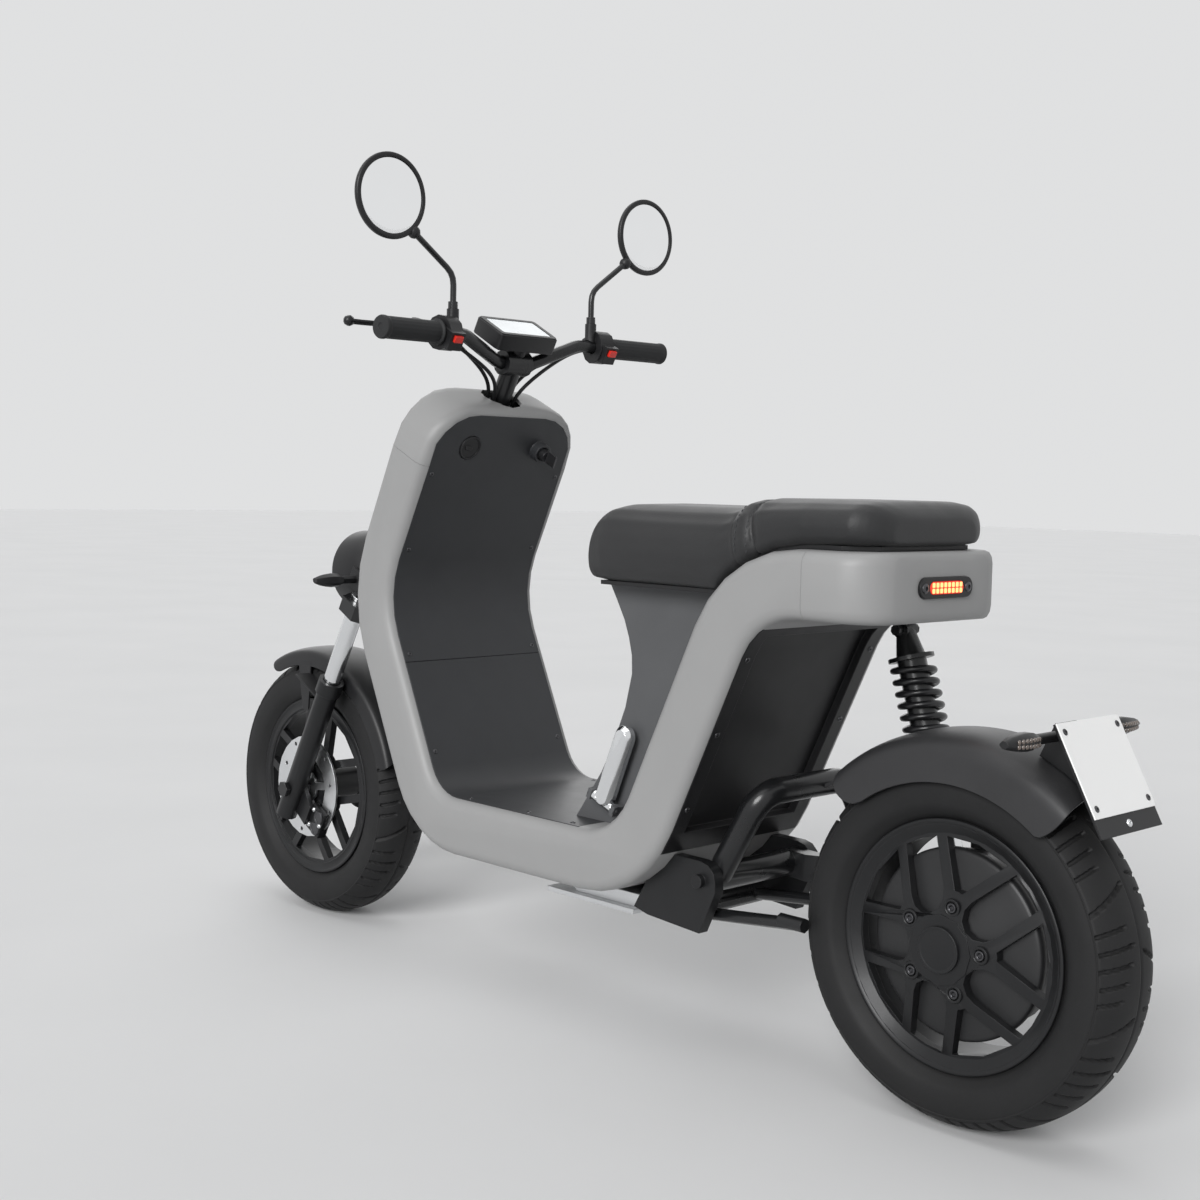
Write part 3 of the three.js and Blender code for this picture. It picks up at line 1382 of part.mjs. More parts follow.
// Belly: two side plates joined by a front block, with the suspension's pivot shaft between them
function bellyHousing() {
  const half = pivotHalfWidth + bellyPlate;
  const under = -halfThickness - seatGap;
  const wrapStart = ribbonWhere((p) => p.x <= bellyFrontX && p.z < kneeHeight, jointAt);
  const wrapEnd = ribbonWhere((p) => onRibbon(p, under)[1] >= pivotHeight + bellyEarRadius, wrapStart);
  const wrap = ribbonSpan(wrapStart, wrapEnd).map((p) => onRibbon(p, under));
  const side = [
    ...wrap,
    ...arcPoints(pivotX, pivotHeight, bellyEarRadius, Math.PI / 2, Math.PI, 3),
    [pivotX - bellyEarRadius, pivotHeight - bellyEarRadius / 2], [pivotX, bellyLow],
    [bellyFrontX - bellyEarRadius, bellyLow + bellyEarRadius / 4], [bellyFrontX, bellyLow + bellyEarRadius / 2],
  ];
  const plates = [sidePrism(side, -half, -pivotHalfWidth), sidePrism(side, pivotHalfWidth, half)];
  const frontRear = standPivotX + standBossRadius + standClearance;
  const frontWrap = ribbonSpan(wrapStart, ribbonWhere((p) => onRibbon(p, under)[0] <= frontRear && p.z < kneeHeight,
    jointAt))
    .map((p) => onRibbon(p, under));
  const front = sidePrism([
    ...frontWrap, [frontRear, bellyLow + bellyEarRadius / 4],
    [bellyFrontX, bellyLow + bellyEarRadius / 2],
  ], -half, half);
  const shaft = rod(point(pivotX, -half, pivotHeight), along.y, 2 * half + bellyPlate / 2, pivotShaftRadius);
  const pin = rod(point(standPivotX, -half, standPivotHeight), along.y, 2 * half, standTubeRadius, smallFacets);
  return join(...plates, front, shaft, pin);
}

function skidTray() {
  const top = floorMidHeight - halfThickness - seatGap;
  const low = top - trayHeight;
  const rear = bellyFrontX + seatGap;
  const tray = sidePrism([
    [rear, low], [trayFrontX - trayInset * 2, low], [trayFrontX - trayInset, top], [rear, top],
  ], -trayHalfWidth + trayInset / 2, trayHalfWidth - trayInset / 2);
  const plate = block(rear, trayFrontX, -trayHalfWidth, trayHalfWidth, low - skidThickness, low);
  return join(tray, plate);
}

function centreStand() {
  const pivot = point(standPivotX, 0, standPivotHeight);
  const tip = point(standPivotX - standLegLength, 0, standPivotHeight + standRise);
  const boss = rod(point(pivot.x, -pivotHalfWidth + seatGap, pivot.z), along.y, 2 * (pivotHalfWidth - seatGap),
    standBossRadius);
  const legs = [-1, 1].flatMap((side) => {
    const y = side * standLegAt;
    const end = point(tip.x, y, tip.z);
    return [
      rodBetween(point(pivot.x, y, pivot.z), end, standTubeRadius, smallFacets),
      rodBetween(point(end.x + standFootLength, y, end.z), point(end.x - standFootLength / 4, y, end.z),
        standTubeRadius * 1.15, smallFacets),
    ];
  });
  const bore = rod(point(pivot.x, -2 * pivotHalfWidth, pivot.z), along.y, 4 * pivotHalfWidth,
    holeFor(standTubeRadius, runningGap));
  return cut(join(boss, ...legs), bore);
}

// Seat post cover: a hollow shell standing on the floor in front of the seat post
function coverOutline(inset) {
  const out = halfThickness + seatGap + inset;
  const foot = ribbonWhere((p) => p.x <= coverFootX - inset && p.z < kneeHeight, jointAt);
  const head = ribbonWhere((p) => onRibbon(p, out)[1] >= seatBaseHeight - seatGap, floorPanelEnd);
  const back = ribbonSpan(foot, head).map((p) => onRibbon(p, out));
  const [footX, footZ] = back[0];
  const top = back[back.length - 1][1];
  const curve = new THREE.CatmullRomCurve3([
    point(coverTopX - inset, 0, top),
    point(coverWaistX - inset + (coverTopX - coverWaistX) * 0.25, 0, coverWaistHeight + (top - coverWaistHeight) * 0.5),
    point(coverWaistX - inset, 0, coverWaistHeight),
    point(coverWaistX - inset + (coverFootX - coverWaistX) * 0.42, 0, footZ + (coverWaistHeight - footZ) * 0.42),
    point(footX, 0, footZ),
  ]);
  const front = curve.getPoints(10).slice(0, -1).map((p) => [p.x, p.z]);
  return [...back, ...front];
}

function seatPostCover() {
  const outer = sidePrism(coverOutline(0), -coverHalfWidth, coverHalfWidth);
  const inner = sidePrism(coverOutline(coverWall), -coverHalfWidth + coverWall, coverHalfWidth - coverWall);
  const strutX = ribbonAt(ribbonWhere((p) => onRibbon(p, halfThickness)[1] >= seatBaseHeight, floorPanelEnd));
  const mouthBack = onRibbon(strutX, halfThickness)[0] + coverWall * 4;
  const mouth = block(mouthBack, coverTopX - coverWall * 4, -coverHalfWidth + coverWall, coverHalfWidth - coverWall,
    seatBaseHeight - coverWall * 6, seatBaseHeight + cutOverrun);
  const [shelfX, shelfHeight] = batteryFoot();
  const shelf = block(shelfX + batteryDepth() / 4, shelfX + batteryDepth() * 0.9, -batteryHalfWidth / 2, batteryHalfWidth / 2,
    floorMidHeight, shelfHeight - seatGap).intersect(outer);
  const brackets = [-1, 1].flatMap((side) => [...[-1, 1].map((end) => pegBracket(side, end)), pegPin(side)]);
  return join(cut(outer, inner, mouth), shelf, ...brackets, ...seatHingeEars());
}

// Ears and a pin in front of the cover's mouth carry the barrel of the seat.
function seatHingeEars() {
  const [x, z] = [seatHingeX(), seatHingeZ()];
  const inner = coverHalfWidth / 2 + runningGap;
  const nose = seatHingeRadius * earNoseShare;
  const outline = [[coverTopX - coverWall * 2, z + nose], [coverTopX - coverWall * 2, z - 2 * seatHingeRadius],
    ...arcPoints(x, z, nose, -Math.PI / 3, Math.PI / 2, 4)];
  const ears = [-1, 1].map((side) => sidePrism(outline, Math.min(side * inner, side * (inner + seatHingeRadius)),
    Math.max(side * inner, side * (inner + seatHingeRadius))));
  return [...ears, rod(point(x, -inner - coverWall, z), along.y, 2 * (inner + coverWall), hingePinRadius, smallFacets)];
}

function batteryBack(height) {
  const out = halfThickness + seatGap + coverWall * 2;
  const at = ribbonWhere((p) => onRibbon(p, out)[1] >= height, floorPanelEnd);
  return onRibbon(ribbonAt(at), out);
}

function batteryDepth() {
  return coverWaistX - coverWall - batteryFrontGap - batteryBack(coverWaistHeight)[0];
}

function batteryFoot() {
  return batteryBack(batteryLow);
}

function batteryPack() {
  const [lowX, lowZ] = batteryFoot();
  const [highX, highZ] = batteryBack(batteryHigh);
  const depth = batteryDepth();
  const body = sidePrism([[lowX, lowZ], [lowX + depth, lowZ], [highX + depth, highZ], [highX, highZ]],
    -batteryHalfWidth, batteryHalfWidth);
  const middle = highX + depth / 2;
  const arch = [-1, 1].map((side) => block(middle - batteryHandleThickness / 2, middle + batteryHandleThickness / 2,
    side * batteryHalfWidth / 2 - batteryHandleThickness / 2, side * batteryHalfWidth / 2 + batteryHandleThickness / 2,
    highZ - seatGap, highZ + batteryHandleHeight));
  const bar = block(middle - batteryHandleThickness / 2, middle + batteryHandleThickness / 2,
    -batteryHalfWidth / 2, batteryHalfWidth / 2, highZ + batteryHandleHeight - batteryHandleThickness,
    highZ + batteryHandleHeight);
  return join(body, ...arch, bar);
}

// Footpegs stand folded up beside the cover, hinged at the foot; they are drawn upright, then leaned.
function pegFrame(side, shape) {
  return tipped(shape, -pegLean, pegHingeX, side * (coverHalfWidth + pegOut), pegHingeHeight);
}

function pegBracket(side, end) {
  const thickness = pegHingeRadius;
  const inner = end * (pegWidth / 2 + seatGap);
  const outer = inner + end * thickness;
  const reach = pegOut + seatGap * 2;
  const plate = block(Math.min(inner, outer), Math.max(inner, outer),
    side > 0 ? -reach : -pegHingeRadius, side > 0 ? pegHingeRadius : reach, -pegHingeRadius, pegHingeRadius);
  return pegFrame(side, plate);
}

function pegPin(side) {
  const reach = pegWidth / 2 + pegHingeRadius;
  return pegFrame(side, rod(point(-reach, 0, 0), along.x, 2 * reach, hingePinRadius, smallFacets));
}

function footpeg(side) {
  const steps = 5;
  const outline = roundedRectangle(pegWidth, pegLength, pegWidth / 2 - seatGap, steps)
    .map(([x, z]) => [x, z + pegLength / 2 - pegHingeRadius]);
  const body = sidePrism(outline, -pegThickness / 2, pegThickness / 2);
  const barrel = rod(point(-pegWidth / 2, 0, 0), along.x, pegWidth, pegHingeRadius, smallFacets);
  const bore = rod(point(-pegWidth, 0, 0), along.x, 2 * pegWidth, holeFor(hingePinRadius, runningGap, smallFacets),
    smallFacets);
  return pegFrame(side, cut(join(body, barrel), bore));
}

// Seat base follows the top of the ribbon behind and runs level in front.
function seatUnderLine() {
  const out = halfThickness + 2 * seatGap;
  const start = ribbonWhere((p) => onRibbon(p, out)[1] >= seatBaseHeight, floorPanelEnd);
  const end = ribbonEnd - (seatRearX - tailEndX) - seatGap;
  const line = ribbonSpan(start, end).map((p) => onRibbon(p, out));
  return [[seatFrontX - seatNoseLength / 8, line[0][1]], ...line];
}

// The base's upper side, square to the under side.
function raised(line, height) {
  return line.map(([x, z], i) => {
    const [ax, az] = line[Math.max(i - 1, 0)];
    const [bx, bz] = line[Math.min(i + 1, line.length - 1)];
    const span = Math.hypot(bx - ax, bz - az);
    return [x + height * (bz - az) / span, z - height * (bx - ax) / span];
  });
}

function seatBase() {
  const under = seatUnderLine();
  const upper = raised(under, seatBaseThickness);
  const half = seatHalfWidth - seatPlanNose / 6;
  const body = sidePrism([...under, ...upper.reverse()], -half, half);
  const barrel = rod(point(seatHingeX(), -coverHalfWidth / 2, seatHingeZ()), along.y, coverHalfWidth,
    seatHingeRadius, smallFacets);
  const bore = rod(point(seatHingeX(), -coverHalfWidth, seatHingeZ()), along.y, 2 * coverHalfWidth,
    holeFor(hingePinRadius, runningGap, smallFacets), smallFacets);
  const corners = [-1, 1].map((side) => {
    const y = side * half;
    const reach = seatPlanTail * 0.6;
    return planPrism([[seatRearX - cutOverrun, y - side * reach], [seatRearX + reach, y],
      [seatRearX + reach, y + side * cutOverrun], [seatRearX - cutOverrun, y + side * cutOverrun]],
    seatBaseHeight - cutOverrun, seatRearTop);
  });
  return cut(join(body, barrel), ...corners, bore);
}

function seatHingeX() {
  return coverTopX + seatHingeRadius + 2 * seatGap;
}

function seatHingeZ() {
  return seatBaseHeight - seatHingeRadius * 0.7;
}

function heightOn(line, x) {
  for (let i = 1; i < line.length; i += 1) {
    const [ax, az] = line[i - 1];
    const [bx, bz] = line[i];
    if (x <= ax && x >= bx) return az + (bz - az) * (ax - x) / (ax - bx);
  }
  return x > line[0][0] ? line[0][1] : line[line.length - 1][1];
}

function roundEnd(distance, radius) {
  if (distance >= radius) return 1;
  const reach = (radius - distance) / radius;
  return Math.sqrt(Math.max(1 - reach * reach, 0));
}

// Cushion: crowned, drawn in at the sides, stepped up behind and pinched in at the seam
function seatCushion() {
  const under = raised(seatUnderLine(), seatBaseThickness + seatGap);
  const front = seatFrontX - seatGap;
  const stations = [];
  const nose = 6;
  for (let i = 0; i < nose; i += 1) stations.push(front - seatNoseLength * (1 - Math.cos(Math.PI / 2 * (i + 0.35) / nose)));
  const channel = [-1.5, -0.5, 0.5, 1.5].map((share) => seatSeamX + share * seatChannelWidth);
  const bendStart = under[1][0];
  const straight = front - seatNoseLength;
  for (let i = 0; i < 5; i += 1) stations.push(straight + (bendStart - straight) * i / 5);
  under.slice(1).forEach(([x]) => {
    if (x > seatRearX + seatTailLength) stations.push(x);
  });
  stations.push(...channel, seatSeamX + seatStepLength);
  for (let i = 0; i < 6; i += 1) {
    stations.push(seatRearX + seatTailLength * (1 - Math.sin(Math.PI / 2 * i / 6)) + seatGap);
  }
  stations.sort((a, b) => b - a);
  const kept = stations.filter((x, i) => i === 0 || stations[i - 1] - x > seatChannelWidth / 8);
  return skin(kept.map((x) => cushionRing(x, under)));
}

const cushionShares = [
  [0, 0], [0.6, 0], [0.93, 0.015], [0.985, 0.16], [1, 0.4], [0.985, 0.62], [0.94, 0.82], [0.83, 0.95],
  [0.62, 0.995], [0, 1],
];

function cushionRing(x, under) {
  const fromFront = seatFrontX - x;
  const fromRear = x - seatRearX;
  const bottom = heightOn(under, x);
  const blend = THREE.MathUtils.smoothstep(seatSeamX + seatStepLength - x, 0, seatStepLength);
  const level = seatFrontTop + (seatRearTop - seatFrontTop) * blend;
  const lift = roundEnd(fromFront, seatNoseLength) * (0.45 + 0.55 * roundEnd(fromRear, seatTailLength));
  const pinch = Math.abs(x - seatSeamX) < seatChannelWidth ? seatChannelDepth : 0;
  const top = Math.max(bottom + seatChannelWidth, bottom + (level - bottom) * lift) - pinch;
  const plan = Math.min(roundEnd(fromFront, seatPlanNose), 1);
  const rearPlan = roundEnd(fromRear, seatPlanTail);
  const half = seatHalfWidth - pinch - seatPlanNose * (1 - plan) - seatPlanTail * (1 - rearPlan);
  const slant = seatSeamSlant * Math.exp(-(((x - seatSeamX) / (seatSeamSlant * 5)) ** 2));
  const right = cushionShares.map(([side, up]) => {
    const crown = seatCrown * (1 - side * side) * up;
    const back = slant * (1 - up) * (side > 0.9 ? 1 : 0);
    return point(x - back * Math.min(up * 3, 1), side * half, bottom + (top - bottom) * up + crown * lift - crown * 0.5);
  });
  return [...right, ...right.slice(1, -1).reverse().map((p) => point(p.x, -p.y, p.z))];
}

// Steering group, in tilted measures: x square to the axis and forward, z up along the axis
function steeringStem() {
  const boss = stemRadius * 2;
  const clampReach = stanchionRadius * 1.6;
  const lobeEdge = legAt - clampReach;
  const half = [
    [-boss * 0.8, boss * 0.6], [-boss * 0.1, boss], [forkOffset - clampReach, legAt + clampReach],
    [forkOffset + clampReach * 0.6, legAt + clampReach], [forkOffset + clampReach, legAt],
    [forkOffset + clampReach * 0.6, lobeEdge], [stemRadius * 2.6, lobeEdge * 0.8],
  ];
  const crown = planPrism([...half.slice().reverse(), ...half.map(([x, y]) => [x, -y])], crownLow,
    crownLow + crownThickness);
  const stem = rod(point(0, 0, crownLow), along.z, barCentreUp - crownLow - barRadius - seatGap, stemRadius);
  const collar = rod(point(0, 0, headTubeHigh + seatGap), along.z, cableCollarHeight * 1.5, headTubeRadius * 0.92);
  const bores = [-1, 1].map((side) => rod(point(forkOffset, side * legAt, crownLow - cutOverrun), along.z,
    crownThickness + 2 * cutOverrun, holeFor(stanchionRadius, seatGap)));
  const clamp = rod(point(0, -clampLength / 2, barCentreUp), along.y, clampLength, clampRadius);
  const seat = rod(point(0, -clampLength, barCentreUp), along.y, 2 * clampLength, holeFor(barRadius, seatGap));
  return cut(join(crown, stem, collar, clamp), ...bores, seat);
}

function handlebar() {
  const end = barSpan / 2 - gripFlangeWidth;
  const half = (side) => [
    point(0, side * barFlatHalf, barCentreUp), point(-barEndBack * 0.1, side * barRiseAt, barRiseUp),
    point(-barEndBack, side * end, barEndUp),
  ];
  return bentTube([half(-1)[2], half(-1)[1], half(-1)[0], half(1)[0], half(1)[1], half(1)[2]], barRadius,
    barFlatHalf * 0.2, 2);
}

// Places on the outer, straight part of the bar, by distance from the middle plane
function onBar(across) {
  const side = Math.sign(across);
  const end = barSpan / 2 - gripFlangeWidth;
  const share = (Math.abs(across) - barRiseAt) / (end - barRiseAt);
  return point(-barEndBack * 0.1 - barEndBack * 0.9 * share, across, barRiseUp + (barEndUp - barRiseUp) * share);
}

function barSleeve(from, to, radius, facets = roundFacets) {
  return rodBetween(onBar(from), onBar(to), radius, facets);
}


function grip(side) {
  const inner = onBar(side * gripStart);
  const outward = onBar(side * gripEnd).sub(inner);
  const length = outward.length();
  const sleeve = turned([
    [0, 0], [gripFlangeRadius, 0], [gripFlangeRadius, gripFlangeWidth], [gripRadius, gripFlangeWidth],
    [gripRadius, length - gripFlangeWidth], [gripRadius * 1.08, length - gripFlangeWidth], [gripRadius * 1.08, length],
    [0, length],
  ], inner, outward, roundFacets);
  const bore = barSleeve(side * (gripStart - cutOverrun), side * (gripEnd - gripFlangeWidth + seatGap),
    holeFor(barRadius, seatGap));
  return cut(sleeve, bore);
}

// Switch pod: a round housing on the bar, a box below it for the buttons and an arm for the lever
function switchPod(side) {
  const middle = onBar(side * (podStart + podEnd) / 2);
  const low = middle.y - podLength / 2;
  const box = block(middle.x - podBoxDepth, middle.x, low, low + podLength, middle.z - podBoxHeight / 2,
    middle.z + podBoxHeight / 2);
  const perch = leverPivot(side);
  const arm = rodBetween(point(middle.x, middle.y, middle.z), point(perch.x, middle.y, perch.z),
    leverPerchHeight / 2, smallFacets);
  const ledge = block(perch.x - leverPerchRadius, perch.x + leverPerchRadius * 0.6,
    Math.min(middle.y, perch.y), Math.max(middle.y, perch.y), perch.z - leverPerchHeight,
    perch.z - leverPerchHeight / 2 - seatGap);
  const riser = block(perch.x - leverPerchRadius, perch.x, middle.y - podLength / 2, middle.y + podLength / 2,
    perch.z - leverPerchHeight, perch.z);
  const post = rod(point(perch.x, perch.y, perch.z - leverPerchHeight), along.z, leverPerchHeight * 1.5,
    leverPerchRadius * 0.35, smallFacets);
  const bore = barSleeve(side * (podStart - 2 * cutOverrun), side * (podEnd + cutOverrun), holeFor(barRadius, seatGap));
  const nut = rodBetween(onBar(side * mirrorStemAt), mirrorPlace(side), mirrorNutRadius, smallFacets);
  const slot = redSwitchBox(side, seatGap);
  return cut(join(barSleeve(side * podStart, side * podEnd, podRadius), box, arm, riser, ledge, post, nut), bore, slot);
}

function redSwitchBox(side, gap) {
  const middle = onBar(side * (podStart + podEnd) / 2);
  const x = middle.x - podBoxDepth;
  const z = middle.z + podBoxHeight * 0.18;
  return block(x - redSwitchDepth / 2 - (gap ? cutOverrun : 0), x + redSwitchDepth / 2 + redSwitchTravel * (gap ? 1 : 0) + gap,
    middle.y - redSwitchLength / 2 - gap, middle.y + redSwitchLength / 2 + gap,
    z - redSwitchHeight / 2 - gap, z + redSwitchHeight / 2 + gap);
}

function leverPivot(side) {
  const middle = onBar(side * (podStart + podEnd) / 2);
  return point(middle.x + podRadius + leverPerchRadius * 0.7, side * (podEnd + leverPerchRadius), middle.z - leverDrop);
}

function brakeLever(side) {
  const pivot = leverPivot(side);
  const boss = rod(point(pivot.x, pivot.y, pivot.z - leverPerchHeight / 2), along.z, leverPerchHeight, leverPerchRadius);
  const reach = (share, forward) => point(pivot.x + forward, pivot.y + side * leverReach * share, pivot.z - leverDrop * share);
  const tip = reach(1, (leverForward - podRadius) * 0.3);
  const blade = tube([reach(0, 0), reach(0.3, (leverForward - podRadius) * 0.5), reach(0.65, 0), tip],
    leverRadius, 6, 8);
  const hole = rod(point(pivot.x, pivot.y, pivot.z - leverPerchHeight), along.z, 2 * leverPerchHeight,
    leverPerchRadius * 0.35 + runningGap, smallFacets);
  return cut(join(boss, blade, ball(tip, leverBallRadius)), hole);
}

// World-up and world-forward as seen in the tilted group
const groupUp = point(Math.sin(rake), 0, Math.cos(rake));
const groupForward = point(Math.cos(rake), 0, -Math.sin(rake));

function mirrorPlace(side) {
  const seat = onBar(side * mirrorStemAt);
  return seat.addScaledVector(groupUp, podRadius + mirrorNutHeight / 2);
}

function mirrorBend(side) {
  return mirrorPlace(side).addScaledVector(groupUp, mirrorRiseHeight);
}

function mirrorJoint(side) {
  const bend = mirrorBend(side);
  return bend.addScaledVector(groupUp, mirrorArmUp).add(point(0, side * mirrorArmOut, 0));
}

function mirrorStem(side) {
  const foot = mirrorPlace(side);
  const collar = rod(foot.clone().addScaledVector(groupUp, seatGap), groupUp, mirrorNutHeight / 2,
    mirrorNutRadius * 0.8, smallFacets);
  const stem = bentTube([foot.clone().addScaledVector(groupUp, mirrorNutHeight / 4), mirrorBend(side), mirrorJoint(side)],
    mirrorStemRadius, mirrorRiseHeight * 0.3, 3, 8);
  return join(collar, stem, ball(mirrorJoint(side), mirrorBallRadius));
}

function mirrorHead(side) {
  const joint = mirrorJoint(side);
  const centre = joint.clone().add(point(0, side * mirrorOut, 0)).addScaledVector(groupUp, mirrorUp)
    .addScaledVector(groupForward, mirrorForward);
  const back = groupForward.clone().negate();
  const start = centre.clone().addScaledVector(groupForward, mirrorDepth);
  const profile = [
    [0, 0], [mirrorRadius * 0.6, mirrorDepth * 0.14], [mirrorRadius * 0.95, mirrorDepth * 0.6],
    [mirrorRadius, mirrorDepth], [mirrorRadius * 0.94, mirrorDepth],
    [mirrorRadius * 0.93, mirrorDepth - mirrorGlassInset], [0, mirrorDepth - mirrorGlassInset],
  ];
  const shell = turned(profile, start, back, mirrorFacets);
  const toward = start.clone().addScaledVector(back, mirrorDepth * 0.5).sub(joint).normalize();
  const cup = rod(joint, toward, mirrorBallRadius * 2, mirrorBallRadius * 1.3, smallFacets);
  const neck = rod(joint.clone().addScaledVector(toward, mirrorBallRadius), toward, mirrorOut * 0.6,
    mirrorStemRadius, smallFacets);
  return cut(join(shell, cup, neck), ball(joint, holeFor(mirrorBallRadius, runningGap, smallFacets)));
}

function display() {
  const outline = roundedRectangle(displayDepth, displayWidth, displayCorner, 2)
    .map(([x, y]) => [x + displayForward, y]);
  const foot = rod(point(0, 0, barCentreUp + barRadius + seatGap), along.z,
    displayUp - barCentreUp - barRadius, displayFootRadius);
  const clearance = rod(point(0, -clampLength, barCentreUp), along.y, 2 * clampLength, clampRadius + seatGap);
  return cut(join(planPrism(outline, displayUp, displayUp + displayHeight), foot), clearance);
}

// Cables run from each pod round to the steering head, where a collar gathers them on the stem.
function controlCables() {
  const start = onBar(podStart);
  const routes = [
    [1, -0.35, 0.2], [1, 0.35, -0.1], [-1, -0.4, 0.15], [-1, 0.3, -0.15],
  ];
  const reach = (cableCollarRadius + stemRadius) / 2;
  const cables = routes.map(([side, forward, spread]) => {
    const angle = Math.PI / 2 * side + side * forward;
    const end = point(reach * Math.cos(angle), reach * Math.sin(angle), cableCollarUp);
    const plugX = start.x + podRadius * (0.5 + spread);
    const plugZ = start.z - podRadius * (0.3 + forward * 0.3);
    return tube([
      point(plugX, side * (start.y - 2 * seatGap), plugZ),
      point(plugX, side * start.y * 0.93, plugZ),
      point(start.x + podRadius * (0.9 + spread), side * start.y * 0.78, start.z - podRadius * (0.9 + forward * 0.3)),
      point(end.x * 1.2 + podRadius * spread, side * reach * 1.9, (cableCollarUp + start.z) / 2 + podRadius * forward * 0.4),
      point(end.x, end.y, cableCollarUp + cableCollarHeight * 2.2),
      end,
    ], cableRadius, 8, cableSides);
  });
  const collar = cut(
    rod(point(0, 0, cableCollarUp - cableCollarHeight), along.z, cableCollarHeight * 1.3, cableCollarRadius),
    rod(point(0, 0, cableCollarUp - 2 * cableCollarHeight), along.z, cableCollarHeight * 4, holeFor(stemRadius, seatGap)));
  return join(...cables, collar);
}

// Headlamp bowl on a bracket that stands on the fork crown
function lampPlace() {
  return point(lampForward, 0, crownLow + lampAboveCrown);
}

function headlamp() {
  const rear = lampPlace();
  const profile = [
    [0, 0], [lampBackRadius, 0], [lampRadius * 0.72, lampLength * 0.14], [lampRadius * 0.92, lampLength * 0.36],
    [lampRadius, lampLength * 0.62], [lampRadius, lampLength], [lampRadius * 0.93, lampLength],
    [lampRadius * 0.92, lampLength - lampLensInset], [0, lampLength - lampLensInset],
  ];
  const bowl = turned(profile, rear, groupForward, lampFacets);
  const crownTop = crownLow + crownThickness;
  const plateTop = crownTop + seatGap + lampEarThickness;
  const inner = legAt - stanchionRadius - seatGap * 4;
  const frontEdge = forkOffset + stanchionRadius * 1.3;
  const mid = rear.clone().addScaledVector(groupForward, lampLength * 0.5);
  const base = planPrism([
    [stemRadius * 1.6, -inner], [frontEdge, -inner], [frontEdge, -lampRadius - lampEarThickness],
    [frontEdge + lampEarWidth, -lampRadius - lampEarThickness], [frontEdge + lampEarWidth, lampRadius + lampEarThickness],
    [frontEdge, lampRadius + lampEarThickness], [frontEdge, inner], [stemRadius * 1.6, inner],
  ], crownTop + seatGap, plateTop);
  const ears = [-1, 1].map((side) => {
    const low = side > 0 ? lampRadius - seatGap : -lampRadius - lampEarThickness;
    return block(frontEdge, frontEdge + lampEarWidth, low, low + lampEarThickness + seatGap, crownTop + seatGap,
      mid.z + lampEarWidth / 2);
  });
  const bolts = rod(point(frontEdge + lampEarWidth / 2, -lampRadius - lampEarThickness - seatGap, mid.z), along.y,
    2 * (lampRadius + lampEarThickness + seatGap), indicatorStalkRadius * 1.4, smallFacets);
  const stalks = [-1, 1].map((side) => rodBetween(
    point(frontEdge + lampEarWidth / 2, side * lampRadius, mid.z),
    point(frontEdge + lampEarWidth / 2, side * (lampRadius + indicatorStalkLength), mid.z), indicatorStalkRadius,
    smallFacets));
  return join(bowl, base, ...ears, bolts, ...stalks);
}

function headlampLens() {
  const face = lampPlace().addScaledVector(groupForward, lampLength - lampLensInset + seatGap);
  const profile = [
    [0, 0], [lampRadius * 0.92 - 2 * seatGap, 0], [lampRadius * 0.92 - 2 * seatGap, lampLensInset],
    [lampRadius * 0.6, lampLensInset + lampLensBulge * 0.7], [0, lampLensInset + lampLensBulge],
  ];
  return turned(profile, face, groupForward, lampFacets);
}

function frontIndicator(side) {
  const mid = lampPlace().addScaledVector(groupForward, lampLength * 0.5);
  const frontEdge = forkOffset + stanchionRadius * 1.3;
  return indicatorPod(frontEdge + lampEarWidth / 2, side * (lampRadius + indicatorStalkLength + seatGap), mid.z, side,
    indicatorLength);
}

// Fork legs: fixed upper tubes, sliding lower legs
function stanchion(side) {
  return rod(point(forkOffset, side * legAt, stanchionLow), along.z, stanchionTop - stanchionLow, stanchionRadius);
}

function slider(side) {
  const y = side * legAt;
  const leg = rod(point(forkOffset, y, -sliderFoot), along.z, sliderTop + sliderFoot, sliderRadius);
  const collar = rod(point(forkOffset, y, sliderTop - sliderCollarHeight), along.z, sliderCollarHeight, sliderCollarRadius);
  const bore = rod(point(forkOffset, y, stanchionLow - forkTravel - cutOverrun / 2), along.z,
    sliderTop + forkTravel, holeFor(stanchionRadius, runningGap));
  const axleHole = rod(point(forkOffset, side * discOut / 2, 0), point(0, side, 0), legAt + sliderRadius,
    holeFor(axleRadius, seatGap));
  const hubEnd = side > 0 ? discOut + discThickness : frontRimWidth / 2;
  const boss = rod(point(forkOffset, side * (hubEnd + seatGap), 0), point(0, side, 0), legAt - hubEnd - seatGap,
    axleHeadRadius, smallFacets);
  const solids = [leg, collar, boss];
  if (side > 0) solids.push(caliperBracket());
  return cut(join(...solids), bore, axleHole);
}

function caliperBracket() {
  const y = legAt;
  const inner = y - sliderRadius * 0.5;
  return planPrismAcross([
    [forkOffset, sliderRadius], [forkOffset - caliperBack + caliperHeight / 4, -caliperDrop + sliderRadius],
    [forkOffset - caliperBack + caliperHeight / 4, -caliperDrop - sliderRadius], [forkOffset, -sliderFoot * 0.7],
  ], inner - discThickness, inner + discThickness);
}

function planPrismAcross(outline, lowY, highY) {
  return sidePrism(outline, lowY, highY);
}

function frontAxle() {
  const reach = legAt + sliderRadius + seatGap;
  const shaft = rod(point(forkOffset, -reach, 0), along.y, 2 * reach, axleRadius);
  const heads = [-1, 1].map((side) => rod(point(forkOffset, side * reach, 0), point(0, side, 0), axleHeadLength,
    axleHeadRadius, 6));
  return join(shaft, ...heads);
}

